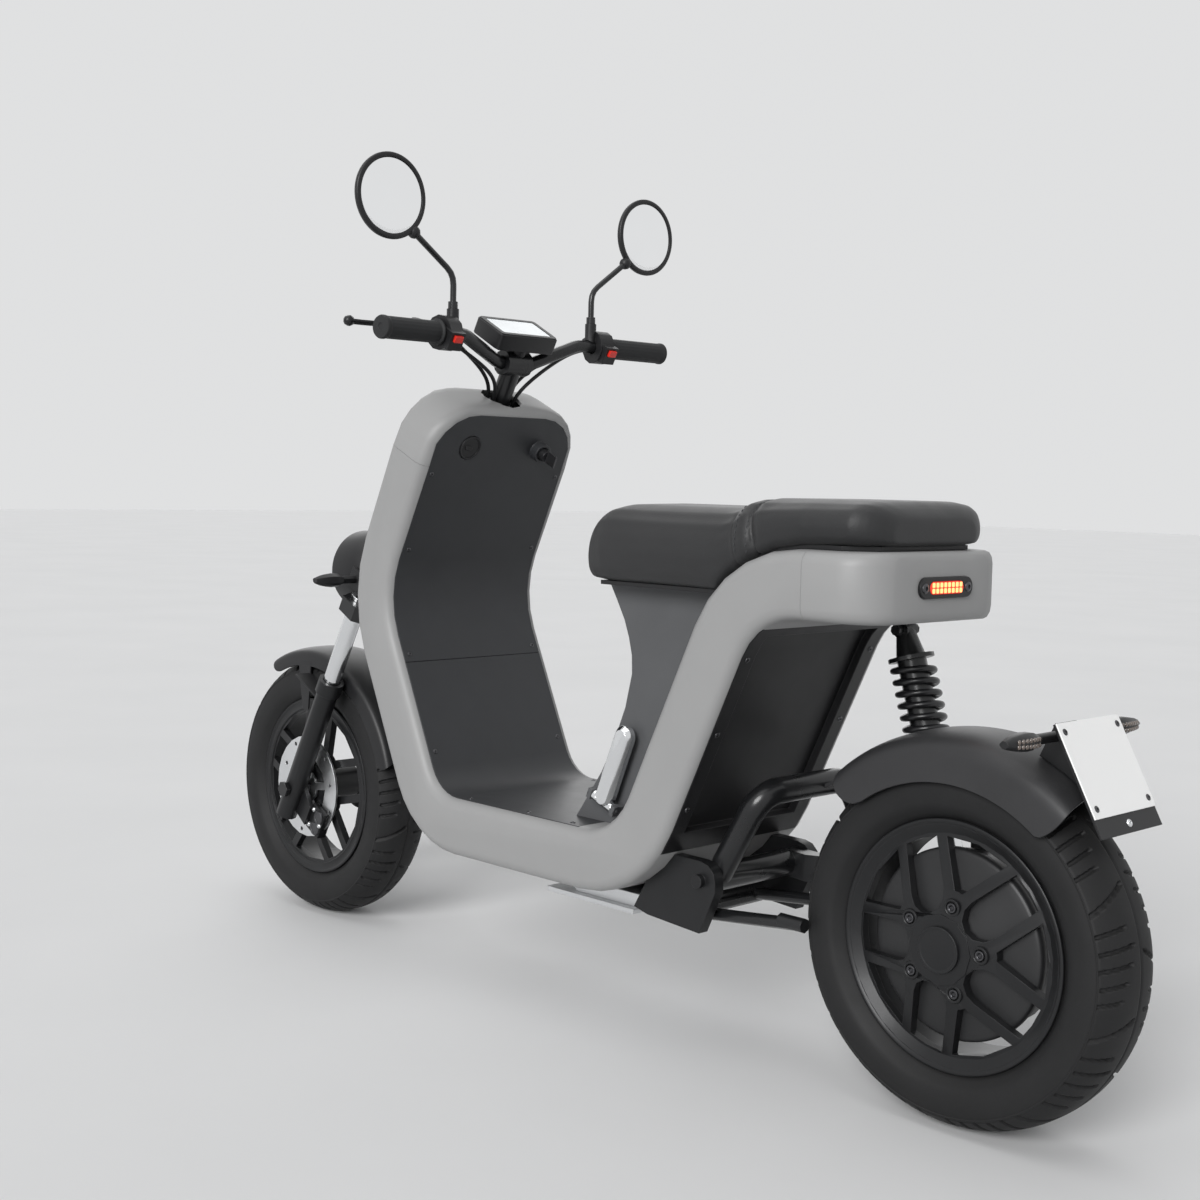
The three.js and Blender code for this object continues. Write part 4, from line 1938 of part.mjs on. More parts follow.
function frontGuard() {
  const guard = moved(mudguard(frontGuardRadius, frontGuardHalfWidth, frontGuardSkirt, frontGuardStart, frontGuardEnd,
    frontGuardSteps), forkOffset, 0, 0);
  const tabAngle = Math.PI / 2 - THREE.MathUtils.degToRad(30);
  const high = frontGuardRadius - frontGuardSkirt * 0.8;
  const low = high - guardTabReach * 0.7;
  const tabs = [-1, 1].map((side) => {
    const y = side * (frontGuardHalfWidth - guardWall / 2);
    const half = guardTabWidth / 2;
    const corner = (radius, shift) => [
      forkOffset + radius * Math.cos(tabAngle) + shift * Math.sin(tabAngle),
      radius * Math.sin(tabAngle) - shift * Math.cos(tabAngle)];
    return sidePrism([corner(high, -half), corner(low, -half * 0.45), corner(low, half * 0.45), corner(high, half)],
      y - guardWall / 2, y + guardWall / 2);
  });
  const stays = [-1, 1].map((side) => {
    const inner = side * (frontGuardHalfWidth - guardWall);
    const outer = side * (legAt + sliderCollarRadius * 0.3);
    const ringTop = sliderTop - sliderCollarHeight - seatGap;
    const plate = block(forkOffset + sliderRadius + seatGap, forkOffset + frontGuardRadius * 0.36,
      Math.min(inner, outer), Math.max(inner, outer), ringTop - guardStayHeight, ringTop - guardStayHeight + guardWall);
    return plate;
  });
  return join(guard, ...tabs, ...stays);
}

function frontCaliper() {
  const x = forkOffset - caliperBack;
  const z = -caliperDrop;
  const outer = legAt - sliderRadius * 0.5 - discThickness - seatGap;
  const inner = outer - caliperWidth;
  const body = block(x - caliperLength / 2 + caliperHeight / 4, x + caliperLength / 4, inner, outer, z - caliperHeight / 2,
    z + caliperHeight / 2);
  const slot = rod(point(forkOffset, discOut - seatGap * 4, 0), along.y, discThickness + seatGap * 8,
    discRadius + runningGap * 3, tyreFacets);
  return cut(body, slot);
}

// Front wheel: the same casting as behind, with a slim hub that carries the brake disc
function frontRim() {
  const hubOut = discOut - seatGap;
  const hub = rod(point(0, -frontRimWidth / 2, 0), along.y, frontRimWidth / 2 + hubOut, hubRadius);
  const bore = rod(point(0, -frontRimWidth, 0), along.y, 2 * frontRimWidth, holeFor(axleRadius, runningGap));
  const barrel = turnedAcross(rimBarrel(frontRimWidth), tyreFacets, point(0, 0, 0), frontTurn);
  return moved(cut(join(barrel, wheelSpider(frontHubOut, seatGap, frontTurn), hub), bore), forkOffset, 0, 0);
}

function frontTyre() {
  return turnedAcross(tyre(frontTyreWidth, frontRimWidth), tyreFacets, point(forkOffset, 0, 0), frontTurn);
}

function brakeDisc() {
  const ring = cut(rod(point(0, discOut, 0), along.y, discThickness, discRadius, discFacets),
    rod(point(0, discOut - cutOverrun, 0), along.y, 2 * cutOverrun, discBore, roundFacets));
  const centre = cut(rod(point(0, discOut, 0), along.y, discThickness, hubRadius, roundFacets),
    rod(point(0, discOut - cutOverrun, 0), along.y, 2 * cutOverrun, holeFor(axleRadius, runningGap)));
  const arms = Array.from({ length: spokeCount }, (_, i) => {
    const arm = block(hubRadius / 2 + axleRadius, discBore + discArmWidth / 4, discOut, discOut + discThickness,
      -discArmWidth / 2, discArmWidth / 2);
    return tipped(arm, i * 2 * Math.PI / spokeCount, 0, 0, 0);
  });
  const holes = Array.from({ length: discHoleCount }, (_, i) => {
    const angle = i * 2 * Math.PI / discHoleCount;
    const radius = discHoleCircle + (i % 2 ? discHoleRadius : -discHoleRadius);
    return rod(point(radius * Math.cos(angle), discOut - cutOverrun, radius * Math.sin(angle)), along.y,
      2 * cutOverrun, discHoleRadius, 5);
  });
  return moved(cut(join(ring, centre, ...arms), ...holes), forkOffset, 0, 0);
}

// The scene graph
const scooter = new THREE.Group();
scooter.name = 'seated_electric_scooter';
const body = new THREE.Group();
body.position.set(-wheelbase / 2, 0, 0);
scooter.add(body);
const steering = new THREE.Group();
steering.position.copy(axleFoot);
steering.rotation.y = -rake;
body.add(steering);

function add(group, name, shape, look) {
  const mesh = new THREE.Mesh(geometryOf(shape), look);
  mesh.name = name;
  group.add(mesh);
}

add(body, 'body_shell', bodyShell(), paint);
add(body, 'top_cap', topCap(), paint);
add(body, 'tail_cap', tailCap(), paint);
add(body, 'leg_panel', legPanel(), panelBlack);
add(body, 'floor_panel', floorPanel(), panelBlack);
add(body, 'rear_panel', rearPanel(), satinBlack);
add(body, 'main_frame', mainFrame(), steelDark);
add(body, 'charge_cover', chargeCover(), satinBlack);
add(body, 'key_lock', keyLock(), brushed);
add(body, 'seat_post_cover', seatPostCover(), midGrey);
add(body, 'battery_pack', batteryPack(), satinBlack);
add(body, 'belly_housing', bellyHousing(), satinBlack);
add(body, 'skid_tray', skidTray(), brushed);
add(body, 'centre_stand', centreStand(), steelDark);
add(body, 'tail_lamp_housing', tailLampHousing(), satinBlack);
add(body, 'tail_lamp_lens', tailLampLens(), redLens);
add(body, 'seat_base', seatBase(), satinBlack);
add(body, 'seat_cushion', seatCushion(), vinyl);
add(body, 'swingarm', swingarm(), satinBlack);
add(body, 'rear_fender', rearGuard(), satinBlack);
add(body, 'plate_bracket', plateBracket(), satinBlack);
add(body, 'number_plate', numberPlate(), plateWhite);
add(body, 'shock_body', shockBody(), steelDark);
add(body, 'shock_rod', shockRod(), chrome);
add(body, 'shock_spring', shockSpring(), satinBlack);
add(body, 'rear_rim', rearRim(), alloyBlack);
add(body, 'rear_tyre', rearTyre(), rubber);
add(body, 'hub_motor', hubMotor(), alloyBlack);
add(steering, 'steering_stem', steeringStem(), satinBlack);
add(steering, 'handlebar', handlebar(), satinBlack);
add(steering, 'display', display(), satinBlack);
add(steering, 'control_cables', controlCables(), rubber);
add(steering, 'headlamp', headlamp(), satinBlack);
add(steering, 'headlamp_lens', headlampLens(), clearLens);
add(steering, 'front_axle', frontAxle(), steelDark);
add(steering, 'front_fender', frontGuard(), satinBlack);
add(steering, 'front_caliper', frontCaliper(), satinBlack);
add(steering, 'front_disc', brakeDisc(), brushed);
add(steering, 'front_rim', frontRim(), alloyBlack);
add(steering, 'front_tyre', frontTyre(), rubber);

for (const [label, side] of [['left', 1], ['right', -1]]) {
  add(body, `footpeg_${label}`, footpeg(side), chrome);
  add(steering, `stanchion_${label}`, stanchion(side), chrome);
  add(steering, `slider_${label}`, slider(side), satinBlack);
  add(steering, side > 0 ? 'grip_left' : 'throttle_grip', grip(side), rubber);
  add(steering, `switch_pod_${label}`, switchPod(side), satinBlack);
  add(steering, `red_switch_${label}`, redSwitchBox(side, 0), redPlastic);
  add(steering, `brake_lever_${label}`, brakeLever(side), satinBlack);
  add(steering, `mirror_stem_${label}`, mirrorStem(side), satinBlack);
  add(steering, `mirror_${label}`, mirrorHead(side), mirrorGlass);
  add(steering, `front_indicator_${label}`, frontIndicator(side), satinBlack);
}

export default scooter;
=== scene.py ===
"""Looks of the seated electric scooter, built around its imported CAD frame. Metres, +X forward, +Y left, +Z up."""
import json
from math import copysign, cos, pi, radians, sin, sqrt, tan

import bmesh
import bpy
import numpy as np
from mathutils import Matrix, Vector

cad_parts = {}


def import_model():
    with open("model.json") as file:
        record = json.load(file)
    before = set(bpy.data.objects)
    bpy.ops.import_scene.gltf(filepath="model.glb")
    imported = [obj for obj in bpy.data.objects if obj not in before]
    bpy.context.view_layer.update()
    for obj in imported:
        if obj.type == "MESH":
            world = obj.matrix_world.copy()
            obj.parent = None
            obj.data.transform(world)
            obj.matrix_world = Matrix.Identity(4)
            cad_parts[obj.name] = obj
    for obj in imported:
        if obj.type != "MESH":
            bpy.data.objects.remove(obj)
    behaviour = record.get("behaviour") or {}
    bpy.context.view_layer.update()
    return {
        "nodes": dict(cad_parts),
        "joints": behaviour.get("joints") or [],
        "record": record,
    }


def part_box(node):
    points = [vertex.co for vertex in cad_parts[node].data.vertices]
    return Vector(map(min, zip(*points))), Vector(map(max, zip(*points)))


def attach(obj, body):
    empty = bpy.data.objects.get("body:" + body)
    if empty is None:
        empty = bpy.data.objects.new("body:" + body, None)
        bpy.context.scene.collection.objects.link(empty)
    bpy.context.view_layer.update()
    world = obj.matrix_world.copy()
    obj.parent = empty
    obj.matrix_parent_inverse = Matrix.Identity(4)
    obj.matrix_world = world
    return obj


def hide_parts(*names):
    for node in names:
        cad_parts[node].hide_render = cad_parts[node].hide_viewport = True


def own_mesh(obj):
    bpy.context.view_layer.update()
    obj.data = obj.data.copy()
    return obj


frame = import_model()
nodes = frame["nodes"]
body_of = {node: body for body, members in frame["record"]["behaviour"]["bodies"].items() for node in members}
slot_of = {part["node"]: part["material_slot"] for part in frame["record"]["subparts"]}
joint_of = {joint["name"]: joint for joint in frame["joints"]}
scene = bpy.context.scene
collection = scene.collection

FORWARD, LEFT, UP = Vector((1, 0, 0)), Vector((0, 1, 0)), Vector((0, 0, 1))
SIDES = ((1, "left"), (-1, "right"))
WHEELBASE = 1.43
AXLE_HEIGHT = 0.24183
TYRE_RADIUS = 0.2418
RAKE = radians(28)
PANEL_LEAN = radians(25)
PEG_LEAN = radians(22)
PLATE_LEAN = radians(28)
AXLE_FOOT = Vector((0.64613, 0.0, 0.20521))
STEER_UP = Vector((-sin(RAKE), 0.0, cos(RAKE)))
STEER_FORWARD = Vector((cos(RAKE), 0.0, sin(RAKE)))
FRONT_AXLE = Vector((WHEELBASE / 2, 0.0, AXLE_HEIGHT))
REAR_AXLE = Vector((-WHEELBASE / 2, 0.0, AXLE_HEIGHT))

# Camera: solved from the outlines of both wheels
CAMERA_PLACE = Vector((-1.9189, 1.8618, 0.8308))
CAMERA_YAW = radians(-44.24)
CAMERA_PITCH = radians(-4.08)
CAMERA_ROLL = radians(1.26)
FOCAL_PIXELS = 1681.4
IMAGE_PIXELS = 1200
SENSOR = 36.0


def with_settings(thing, **settings):
    for key, value in settings.items():
        setattr(thing, key, value)
    return thing


def new_object(name, data):
    thing = bpy.data.objects.new(name, data)
    collection.objects.link(thing)
    return thing


def make_camera():
    data = with_settings(bpy.data.cameras.new("photo_camera"), sensor_width=SENSOR, clip_start=0.05, clip_end=60,
                         lens=FOCAL_PIXELS / IMAGE_PIXELS * SENSOR)
    camera = new_object("photo_camera", data)
    level = cos(CAMERA_PITCH)
    ahead = Vector((cos(CAMERA_YAW) * level, sin(CAMERA_YAW) * level, sin(CAMERA_PITCH)))
    turn = ahead.to_track_quat("-Z", "Y").to_matrix().to_4x4()
    camera.matrix_world = Matrix.Translation(CAMERA_PLACE) @ turn @ Matrix.Rotation(CAMERA_ROLL, 4, "Z")
    scene.camera = camera


def on_steering(x, y, z):
    """A place in the steering group's own leaning frame, in millimetres, as a place in the row frame."""
    return AXLE_FOOT + (STEER_FORWARD * x + Vector((0, y, 0)) + STEER_UP * z) / 1000


def reach(node, direction):
    """How far a CAD node goes along a direction."""
    return max(direction.dot(v.co) for v in nodes[node].data.vertices)


# Materials
def connect(tree, node, inputs):
    """Sets a node's inputs by name or number: a socket is linked, any other value is stored."""
    for key, value in inputs.items():
        if isinstance(value, bpy.types.NodeSocket):
            tree.links.new(value, node.inputs[key])
        else:
            node.inputs[key].default_value = value


def add_node(tree, kind, inputs=None, **settings):
    node = with_settings(tree.nodes.new("ShaderNode" + kind), **settings)
    connect(tree, node, inputs or {})
    return node


def ramp(tree, source, low, high, start=0.0, end=1.0):
    return add_node(tree, "MapRange", {"Value": source, "From Min": start, "From Max": end, "To Min": low,
                                       "To Max": high}).outputs["Result"]


def noise(tree, place, scale, detail=3.0, rough=0.55):
    return add_node(tree, "TexNoise", {"Vector": place, "Scale": scale, "Detail": detail,
                                       "Roughness": rough}).outputs["Fac"]


def mix_colour(tree, share, first, second):
    return add_node(tree, "Mix", {0: share, 6: first, 7: second}, data_type="RGBA").outputs[2]


def shade(colour, factor):
    return tuple(min(1.0, channel * factor) for channel in colour[:3]) + (1.0,)


def new_material(name):
    material = bpy.data.materials.new(name)
    material.use_nodes = True
    return material, material.node_tree, material.node_tree.nodes["Principled BSDF"]


DUST_COLOUR = (0.3, 0.29, 0.275, 1.0)
SMOOTHER, ROUGHER = 0.02, 0.03


def finish(name, colour, rough, metal=0.0, coat=0.0, coat_rough=0.08, grain=0.0, grain_size=0.0008, cells=False,
           mottle=0.12, wear=0.0, wear_colour=None, dust=0.0, brushed=None, sheen=0.0, edge=0.0012, specular=0.5):
    """A surface with colour drift, roughness drift, a fine grain and, where asked, lighter worn edges and dust."""
    material, tree, shader = new_material(name)
    where = add_node(tree, "TexCoord").outputs["Object"]
    share = ramp(tree, noise(tree, where, 9.0, 5.0, 0.6), 0.0, 1.0, 0.3, 0.7)
    tone = mix_colour(tree, share, shade(colour, 1.0 - mottle), shade(colour, 1.0 + mottle))
    if grain or wear:
        speck = noise(tree, where, 0.6 / grain_size, 2.0, 0.6)
        tone = mix_colour(tree, ramp(tree, speck, 0.0, 0.35, 0.45, 0.75), tone, shade(colour, 1.0 + 2.2 * mottle))
    if dust:
        facing = add_node(tree, "SeparateXYZ", {0: add_node(tree, "NewGeometry").outputs["Normal"]})
        tone = mix_colour(tree, ramp(tree, facing.outputs["Z"], 0.0, dust, 0.35, 1.0), tone, DUST_COLOUR)
    normal = add_node(tree, "Bevel", {"Radius": edge}, samples=4).outputs["Normal"] if edge else None
    if wear:
        flat = add_node(tree, "VectorMath", {0: normal, 1: add_node(tree, "NewGeometry").outputs["Normal"]},
                        operation="DOT_PRODUCT").outputs["Value"]
        patches = ramp(tree, noise(tree, where, 60.0, 4.0), 0.2, 1.0, 0.35, 0.65)
        edges = ramp(tree, flat, wear, 0.0, 0.86, 0.985)
        rub = add_node(tree, "Math", {0: edges, 1: patches}, operation="MULTIPLY").outputs[0]
        tone = mix_colour(tree, rub, tone, wear_colour or shade(colour, 2.6))
    height = None
    if brushed is not None:
        stretched = add_node(tree, "Mapping", {"Vector": where, "Scale": brushed})
        height = noise(tree, stretched.outputs["Vector"], 1.0, 2.0)
    elif cells:
        blur = add_node(tree, "TexNoise", {"Vector": where, "Scale": 0.35 / grain_size})
        warp = add_node(tree, "VectorMath", {0: blur.outputs["Color"], 1: (grain_size,) * 3, 2: where},
                        operation="MULTIPLY_ADD")
        height = add_node(tree, "TexVoronoi", {"Vector": warp.outputs[0], "Scale": 1.0 / grain_size},
                          feature="SMOOTH_F1").outputs["Distance"]
    elif grain:
        height = noise(tree, where, 1.0 / grain_size, 3.0, 0.65)
    if height is not None:
        bump = add_node(tree, "Bump", {"Height": height, "Strength": 0.35 if cells else 0.25, "Distance": grain})
        if normal is not None:
            connect(tree, bump, {"Normal": normal})
        normal = bump.outputs["Normal"]
    if normal is not None:
        connect(tree, shader, {"Normal": normal})
    low, high = max(0.03, rough - SMOOTHER), min(1.0, rough + ROUGHER)
    connect(tree, shader, {
        "Base Color": tone, "Roughness": ramp(tree, noise(tree, where, 26.0, 4.0), low, high, 0.3, 0.7),
        "Metallic": metal, "Specular IOR Level": specular, "Coat Weight": coat, "Coat Roughness": coat_rough,
        "Sheen Weight": sheen, "Sheen Roughness": 0.5})
    return material


def changed(material, inputs):
    """The same material with other fixed values on its shader."""
    connect(material.node_tree, material.node_tree.nodes["Principled BSDF"], inputs)
    return material


# Emission: the lamps' own light, and on the display screen a painted glow.
def lamp_and_painted_glow(name, colour, strength, base):
    return changed(finish(name, base, 0.25, mottle=0.08, edge=0.0),
                   {"Emission Color": colour, "Emission Strength": strength})


looks = {
    "paint": finish("satin_paint", (0.305, 0.305, 0.305), 0.46, grain=0.00004, grain_size=0.0009, mottle=0.02,
                    coat=0.08, coat_rough=0.35, wear=0.2, wear_colour=(0.42, 0.42, 0.42, 1.0), specular=0.4),
    "panel_black": finish("panel_plastic", (0.03, 0.0315, 0.0345), 0.4, grain=0.0002, grain_size=0.0011,
                          mottle=0.1, wear=0.3, dust=0.03, specular=0.4),
    "satin_black": finish("satin_plastic", (0.0125, 0.0125, 0.0135), 0.4, grain=0.00014, grain_size=0.0009,
                          mottle=0.16, wear=0.3, dust=0.02, specular=0.35),
    "mid_grey": finish("grained_plastic", (0.09, 0.092, 0.096), 0.5, grain=0.00026, grain_size=0.0012, mottle=0.07,
                       wear=0.25, dust=0.03, specular=0.35),
    "seat_vinyl": finish("seat_cover", (0.021, 0.0213, 0.0223), 0.48, grain=0.0006, grain_size=0.0016, cells=True,
                         mottle=0.1, sheen=0.06, edge=0.0, dust=0.015, specular=0.35),
    "grip_rubber": finish("grip_rubber", (0.021, 0.0215, 0.0225), 0.62, grain=0.0003, grain_size=0.0014,
                          mottle=0.15, specular=0.3),
    "cable_rubber": finish("cable_sheath", (0.009, 0.0092, 0.0098), 0.4, grain=0.0001, grain_size=0.0007,
                           mottle=0.15, specular=0.35),
    "tyre_rubber": finish("tyre_rubber", (0.011, 0.011, 0.0115), 0.62, grain=0.0003, grain_size=0.0012, mottle=0.2,
                          wear=0.25, dust=0.02, edge=0.0008, specular=0.3),
    "black_casting": finish("black_casting", (0.0125, 0.0128, 0.0138), 0.36, metal=0.2, grain=0.00016,
                            grain_size=0.001, mottle=0.16, wear=0.35, wear_colour=(0.07, 0.07, 0.073, 1.0),
                            specular=0.4),
    "frame_steel": finish("frame_lacquer", (0.0115, 0.0118, 0.0128), 0.28, metal=0.1, coat=0.2, coat_rough=0.16,
                          grain=0.00008, grain_size=0.0016, mottle=0.14, wear=0.3, specular=0.4),
    "spring_steel": finish("spring_coat", (0.011, 0.011, 0.0122), 0.32, coat=0.25, coat_rough=0.15, grain=0.00006,
                           grain_size=0.001, mottle=0.14, specular=0.4),
    "chrome": finish("plated_metal", (0.8, 0.81, 0.82), 0.1, metal=1.0, mottle=0.03, grain=0.00002,
                     grain_size=0.002),
    "brushed_metal": finish("brushed_metal", (0.74, 0.75, 0.76), 0.3, metal=1.0, mottle=0.06, grain=0.00008,
                            brushed=(60.0, 900.0, 900.0), wear=0.2),
    "plate_white": finish("plate_enamel", (0.97, 0.97, 0.965), 0.32, coat=0.2, mottle=0.006, edge=0.0006),
    "red_plastic": finish("red_plastic", (0.7, 0.025, 0.014), 0.34, coat=0.2, mottle=0.08, grain=0.00004),
    "red_lens": lamp_and_painted_glow("red_lens", (1.0, 0.05, 0.015, 1.0), 0.5, (0.6, 0.02, 0.012)),
    "clear_lens": changed(finish("clear_lens", (0.9, 0.93, 0.95), 0.04, mottle=0.03, edge=0.0),
                          {"Transmission Weight": 1.0, "IOR": 1.45}),
    "mirror_glass": finish("mirror_glass", (0.97, 0.975, 0.98), 0.03, metal=1.0, mottle=0.01, edge=0.0),
}
screw_steel = finish("screw_steel", (0.1, 0.1, 0.105), 0.32, metal=0.9, mottle=0.15, grain=0.00004, edge=0.0003)
bolt_steel = finish("bolt_steel", (0.085, 0.085, 0.09), 0.34, metal=0.9, mottle=0.15, grain=0.00005, edge=0.0004)
motor_paint = finish("motor_paint", (0.021, 0.0212, 0.0222), 0.42, metal=0.1, grain=0.00014, grain_size=0.0011,
                     mottle=0.14, wear=0.3, wear_colour=(0.09, 0.09, 0.094, 1.0), specular=0.4)
thread_black = finish("seam_thread", (0.05, 0.052, 0.056), 0.8, grain=0.0002, grain_size=0.0004, mottle=0.2,
                      edge=0.0)
# Painted light: a pale colour and a glow make the screen bright; it is no lamp.
painted_glow_screen = lamp_and_painted_glow("painted_glow_screen", (0.9, 0.96, 1.0, 1.0), 0.22, (0.62, 0.64, 0.65))
smoked = finish("smoked_beads", (0.1, 0.075, 0.06), 0.12, coat=1.0, mottle=0.2, edge=0.0)
fender_plastic = finish("fender_plastic", (0.03, 0.03, 0.0315), 0.44, grain=0.00014, grain_size=0.0009,
                        mottle=0.12, wear=0.25, specular=0.35)
lit_column = lamp_and_painted_glow("lit_column", (1.0, 0.3, 0.1, 1.0), 2.6, (0.9, 0.25, 0.12))
reflector = finish("reflector_coat", (0.85, 0.86, 0.87), 0.08, metal=1.0, mottle=0.03, edge=0.0)


# Helpers that make shapes, each a pair of points and faces
def merge_shapes(shapes):
    vertices, faces = [], []
    for points, polygons in shapes:
        start = len(vertices)
        vertices.extend(points)
        faces.extend([[start + i for i in polygon] for polygon in polygons])
    return vertices, faces


def part_of(points, polygons):
    """The given faces alone, with only the points that they use."""
    used = sorted({i for p in polygons for i in p})
    place = {old: new for new, old in enumerate(used)}
    return [points[i] for i in used], [[place[i] for i in p] for p in polygons]


def skin(rows, count, around=False, caps=True):
    """Faces between closed rows of count points. Around joins the last row to the first, else caps close it."""
    faces = []
    for row in range(rows if around else rows - 1):
        here, ahead = row * count, (row + 1) % rows * count
        for k in range(count):
            m = (k + 1) % count
            faces.append([here + k, here + m, ahead + m, ahead + k])
    if caps and not around:
        faces += [list(reversed(range(count))), [(rows - 1) * count + k for k in range(count)]]
    return faces


def frame_along(direction):
    axis = Vector(direction).normalized()
    side = axis.cross(UP)
    if side.length < 1e-4:
        side = axis.cross(FORWARD)
    side.normalize()
    return Matrix((side, side.cross(axis), axis)).transposed()


def lathe(profile, place, direction, steps=48):
    """A turned form. The profile is a list of (radius, height) along the direction."""
    turn = frame_along(direction)
    vertices, faces, rows = [], [], []
    for radius, height in profile:
        rows.append(range(len(vertices), len(vertices) + (steps if radius else 1)))
        for i in range(len(rows[-1])):
            angle = 2 * pi * i / steps
            vertices.append(place + turn @ Vector((radius * cos(angle), radius * sin(angle), height)))
    for low, high in zip(rows, rows[1:]):
        for i in range(steps):
            j = (i + 1) % steps
            if len(low) > 1 and len(high) > 1:
                faces.append([low[i], low[j], high[j], high[i]])
            elif len(high) > 1:
                faces.append([low[0], high[j], high[i]])
            elif len(low) > 1:
                faces.append([low[i], low[j], high[0]])
    return vertices, faces


def sweep(path, radius, sides=12):
    """A tube along points, with one radius or one per point. Its section is carried along without twist."""
    points = [Vector(p) for p in path]
    last = len(points) - 1
    vertices, normal = [], None
    for i, here in enumerate(points):
        tangent = (points[min(i + 1, last)] - points[max(i - 1, 0)]).normalized()
        if normal is None:
            normal = frame_along(tangent).col[0].copy()
        normal = (normal - tangent * normal.dot(tangent)).normalized()
        other = tangent.cross(normal)
        size = radius[i] if isinstance(radius, list) else radius
        for k in range(sides):
            angle = 2 * pi * k / sides
            vertices.append(here + normal * size * cos(angle) + other * size * sin(angle))
    return vertices, skin(last + 1, sides)


def fillet_path(points, bend, steps=10):
    """Straight runs joined by round bends of one radius."""
    spots = [Vector(p) for p in points]
    out = [spots[0]]
    for before, corner, after in zip(spots, spots[1:], spots[2:]):
        enter, leave = (before - corner).normalized(), (after - corner).normalized()
        half = enter.angle(leave) / 2
        back = bend / tan(half)
        middle = corner + (enter + leave).normalized() * bend / sin(half)
        first, last = corner + enter * back - middle, corner + leave * back - middle
        turn = first.angle(last)
        for k in range(steps + 1):
            share = k / steps
            out.append(middle + (first * sin((1 - share) * turn) + last * sin(share * turn))
                       / sin(turn))
    return out + [spots[-1]]


def curve(spots, steps, blend):
    """A line along points, each span of it a blend of four neighbours."""
    spots = [spots[0] * 2 - spots[1]] + spots + [spots[-1] * 2 - spots[-2]]
    out = [blend(*four, k / steps) for four in zip(spots, spots[1:], spots[2:], spots[3:]) for k in range(steps)]
    return out + [spots[-2]]


def drawn_towards(a, b, c, d, t):
    return (a * (1 - t) ** 3 + b * (3 * t ** 3 - 6 * t * t + 4) + c * (1 + 3 * t + 3 * t * t - 3 * t ** 3)
            + d * t ** 3) / 6


def led_through(a, b, c, d, t):
    return 0.5 * (2 * b + (c - a) * t + (2 * a - 5 * b + 4 * c - d) * t * t + (3 * b - a - 3 * c + d) * t ** 3)


def rounded_plate(centre, across, up, width, height, corner, thickness, steps=4):
    """A plate with round corners and an eased front edge, standing on its middle point."""
    normal = across.cross(up)
    outline = []
    for quarter, (x, y) in enumerate(((1, 1), (-1, 1), (-1, -1), (1, -1))):
        for k in range(steps + 1):
            angle = pi / 2 * (quarter + k / steps)
            outline.append((x * (width / 2 - corner), y * (height / 2 - corner), cos(angle), sin(angle)))
    ease = min(corner, thickness) * 0.5
    vertices = [centre + across * (x + size * dx) + up * (y + size * dy) + normal * rise
                for size, rise in ((corner, 0.0), (corner, thickness - ease), (corner - ease, thickness))
                for x, y, dx, dy in outline]
    return vertices, skin(3, len(outline))


def screw(place, direction, head=0.0042, rise=0.0016):
    """A button head with a six-sided socket."""
    mouth, wall, depth = head * 0.5, head * 0.44, rise * 0.15
    dome = lathe([(head, 0.0), (head * 0.96, rise * 0.45), (head * 0.72, rise * 0.9), (mouth, rise)], place,
                 direction, 16)
    socket = lathe([(mouth, rise), (wall, rise), (wall, depth), (0.0, depth)], place, direction, 6)
    return merge_shapes([dome, socket, lathe([(mouth, rise), (wall, rise)], place, direction, 24)])


def welded(node):
    """The CAD node's shape as a clean mesh: points joined, flat regions merged into single faces."""
    work = bmesh.new()
    work.from_mesh(nodes[node].data)
    bmesh.ops.remove_doubles(work, verts=work.verts, dist=0.00002)
    bmesh.ops.dissolve_limit(work, angle_limit=radians(0.7), verts=work.verts, edges=work.edges)
    work.verts.ensure_lookup_table()
    vertices = [v.co.copy() for v in work.verts]
    faces = [[v.index for v in face.verts] for face in work.faces]
    work.free()
    return vertices, faces


def surface_point(target, origin, direction):
    hit, place, normal, _ = target.ray_cast(Vector(origin), Vector(direction))
    return (place, normal) if hit else None


def add_piece(name, shape, body, slot, smooth=40, look=None, stands_for=None):
    """A piece made of one shape or of a list of shapes. It rides on a body and may stand for a CAD node."""
    vertices, faces = merge_shapes(shape) if isinstance(shape, list) else shape
    mesh = bpy.data.meshes.new(name)
    mesh.from_pydata([tuple(v) for v in vertices], [], faces)
    mesh.materials.append(look or looks[slot])
    mesh.validate()
    mesh.shade_smooth()
    mesh.set_sharp_from_angle(angle=radians(smooth))
    piece = new_object(name, mesh)
    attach(piece, body)
    if stands_for:
        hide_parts(stands_for)
    return piece


# Refined copies of the rigid nodes, all but those with a form of their own below
OWN_FORM = ("seat_base", "seat_cushion", "rear_fender", "front_fender", "shock_spring", "rear_tyre", "front_tyre",
            "control_cables", "footpeg_left", "footpeg_right", "grip_left", "throttle_grip", "mirror_left",
            "mirror_right")
EDGES = {
    "leg_panel": 0.0012, "floor_panel": 0.001, "rear_panel": 0.0012, "charge_cover": 0.0006, "key_lock": 0.0005,
    "battery_pack": 0.004, "skid_tray": 0.001, "tail_lamp_housing": 0.0008, "tail_lamp_lens": 0.0006,
    "number_plate": 0.0005, "hub_motor": 0.002, "display": 0.002, "front_axle": 0.0008, "front_caliper": 0.0015,
    "red_switch_left": 0.0008, "red_switch_right": 0.0008, "front_indicator_left": 0.0015,
    "front_indicator_right": 0.0015,
}
TUBES = ("swingarm", "handlebar", "main_frame", "centre_stand", "plate_bracket", "brake_lever_left",
         "brake_lever_right", "mirror_stem_left", "mirror_stem_right", "switch_pod_left", "switch_pod_right")
TUBE_SMOOTH, OTHER_SMOOTH = 52.0, 38.0


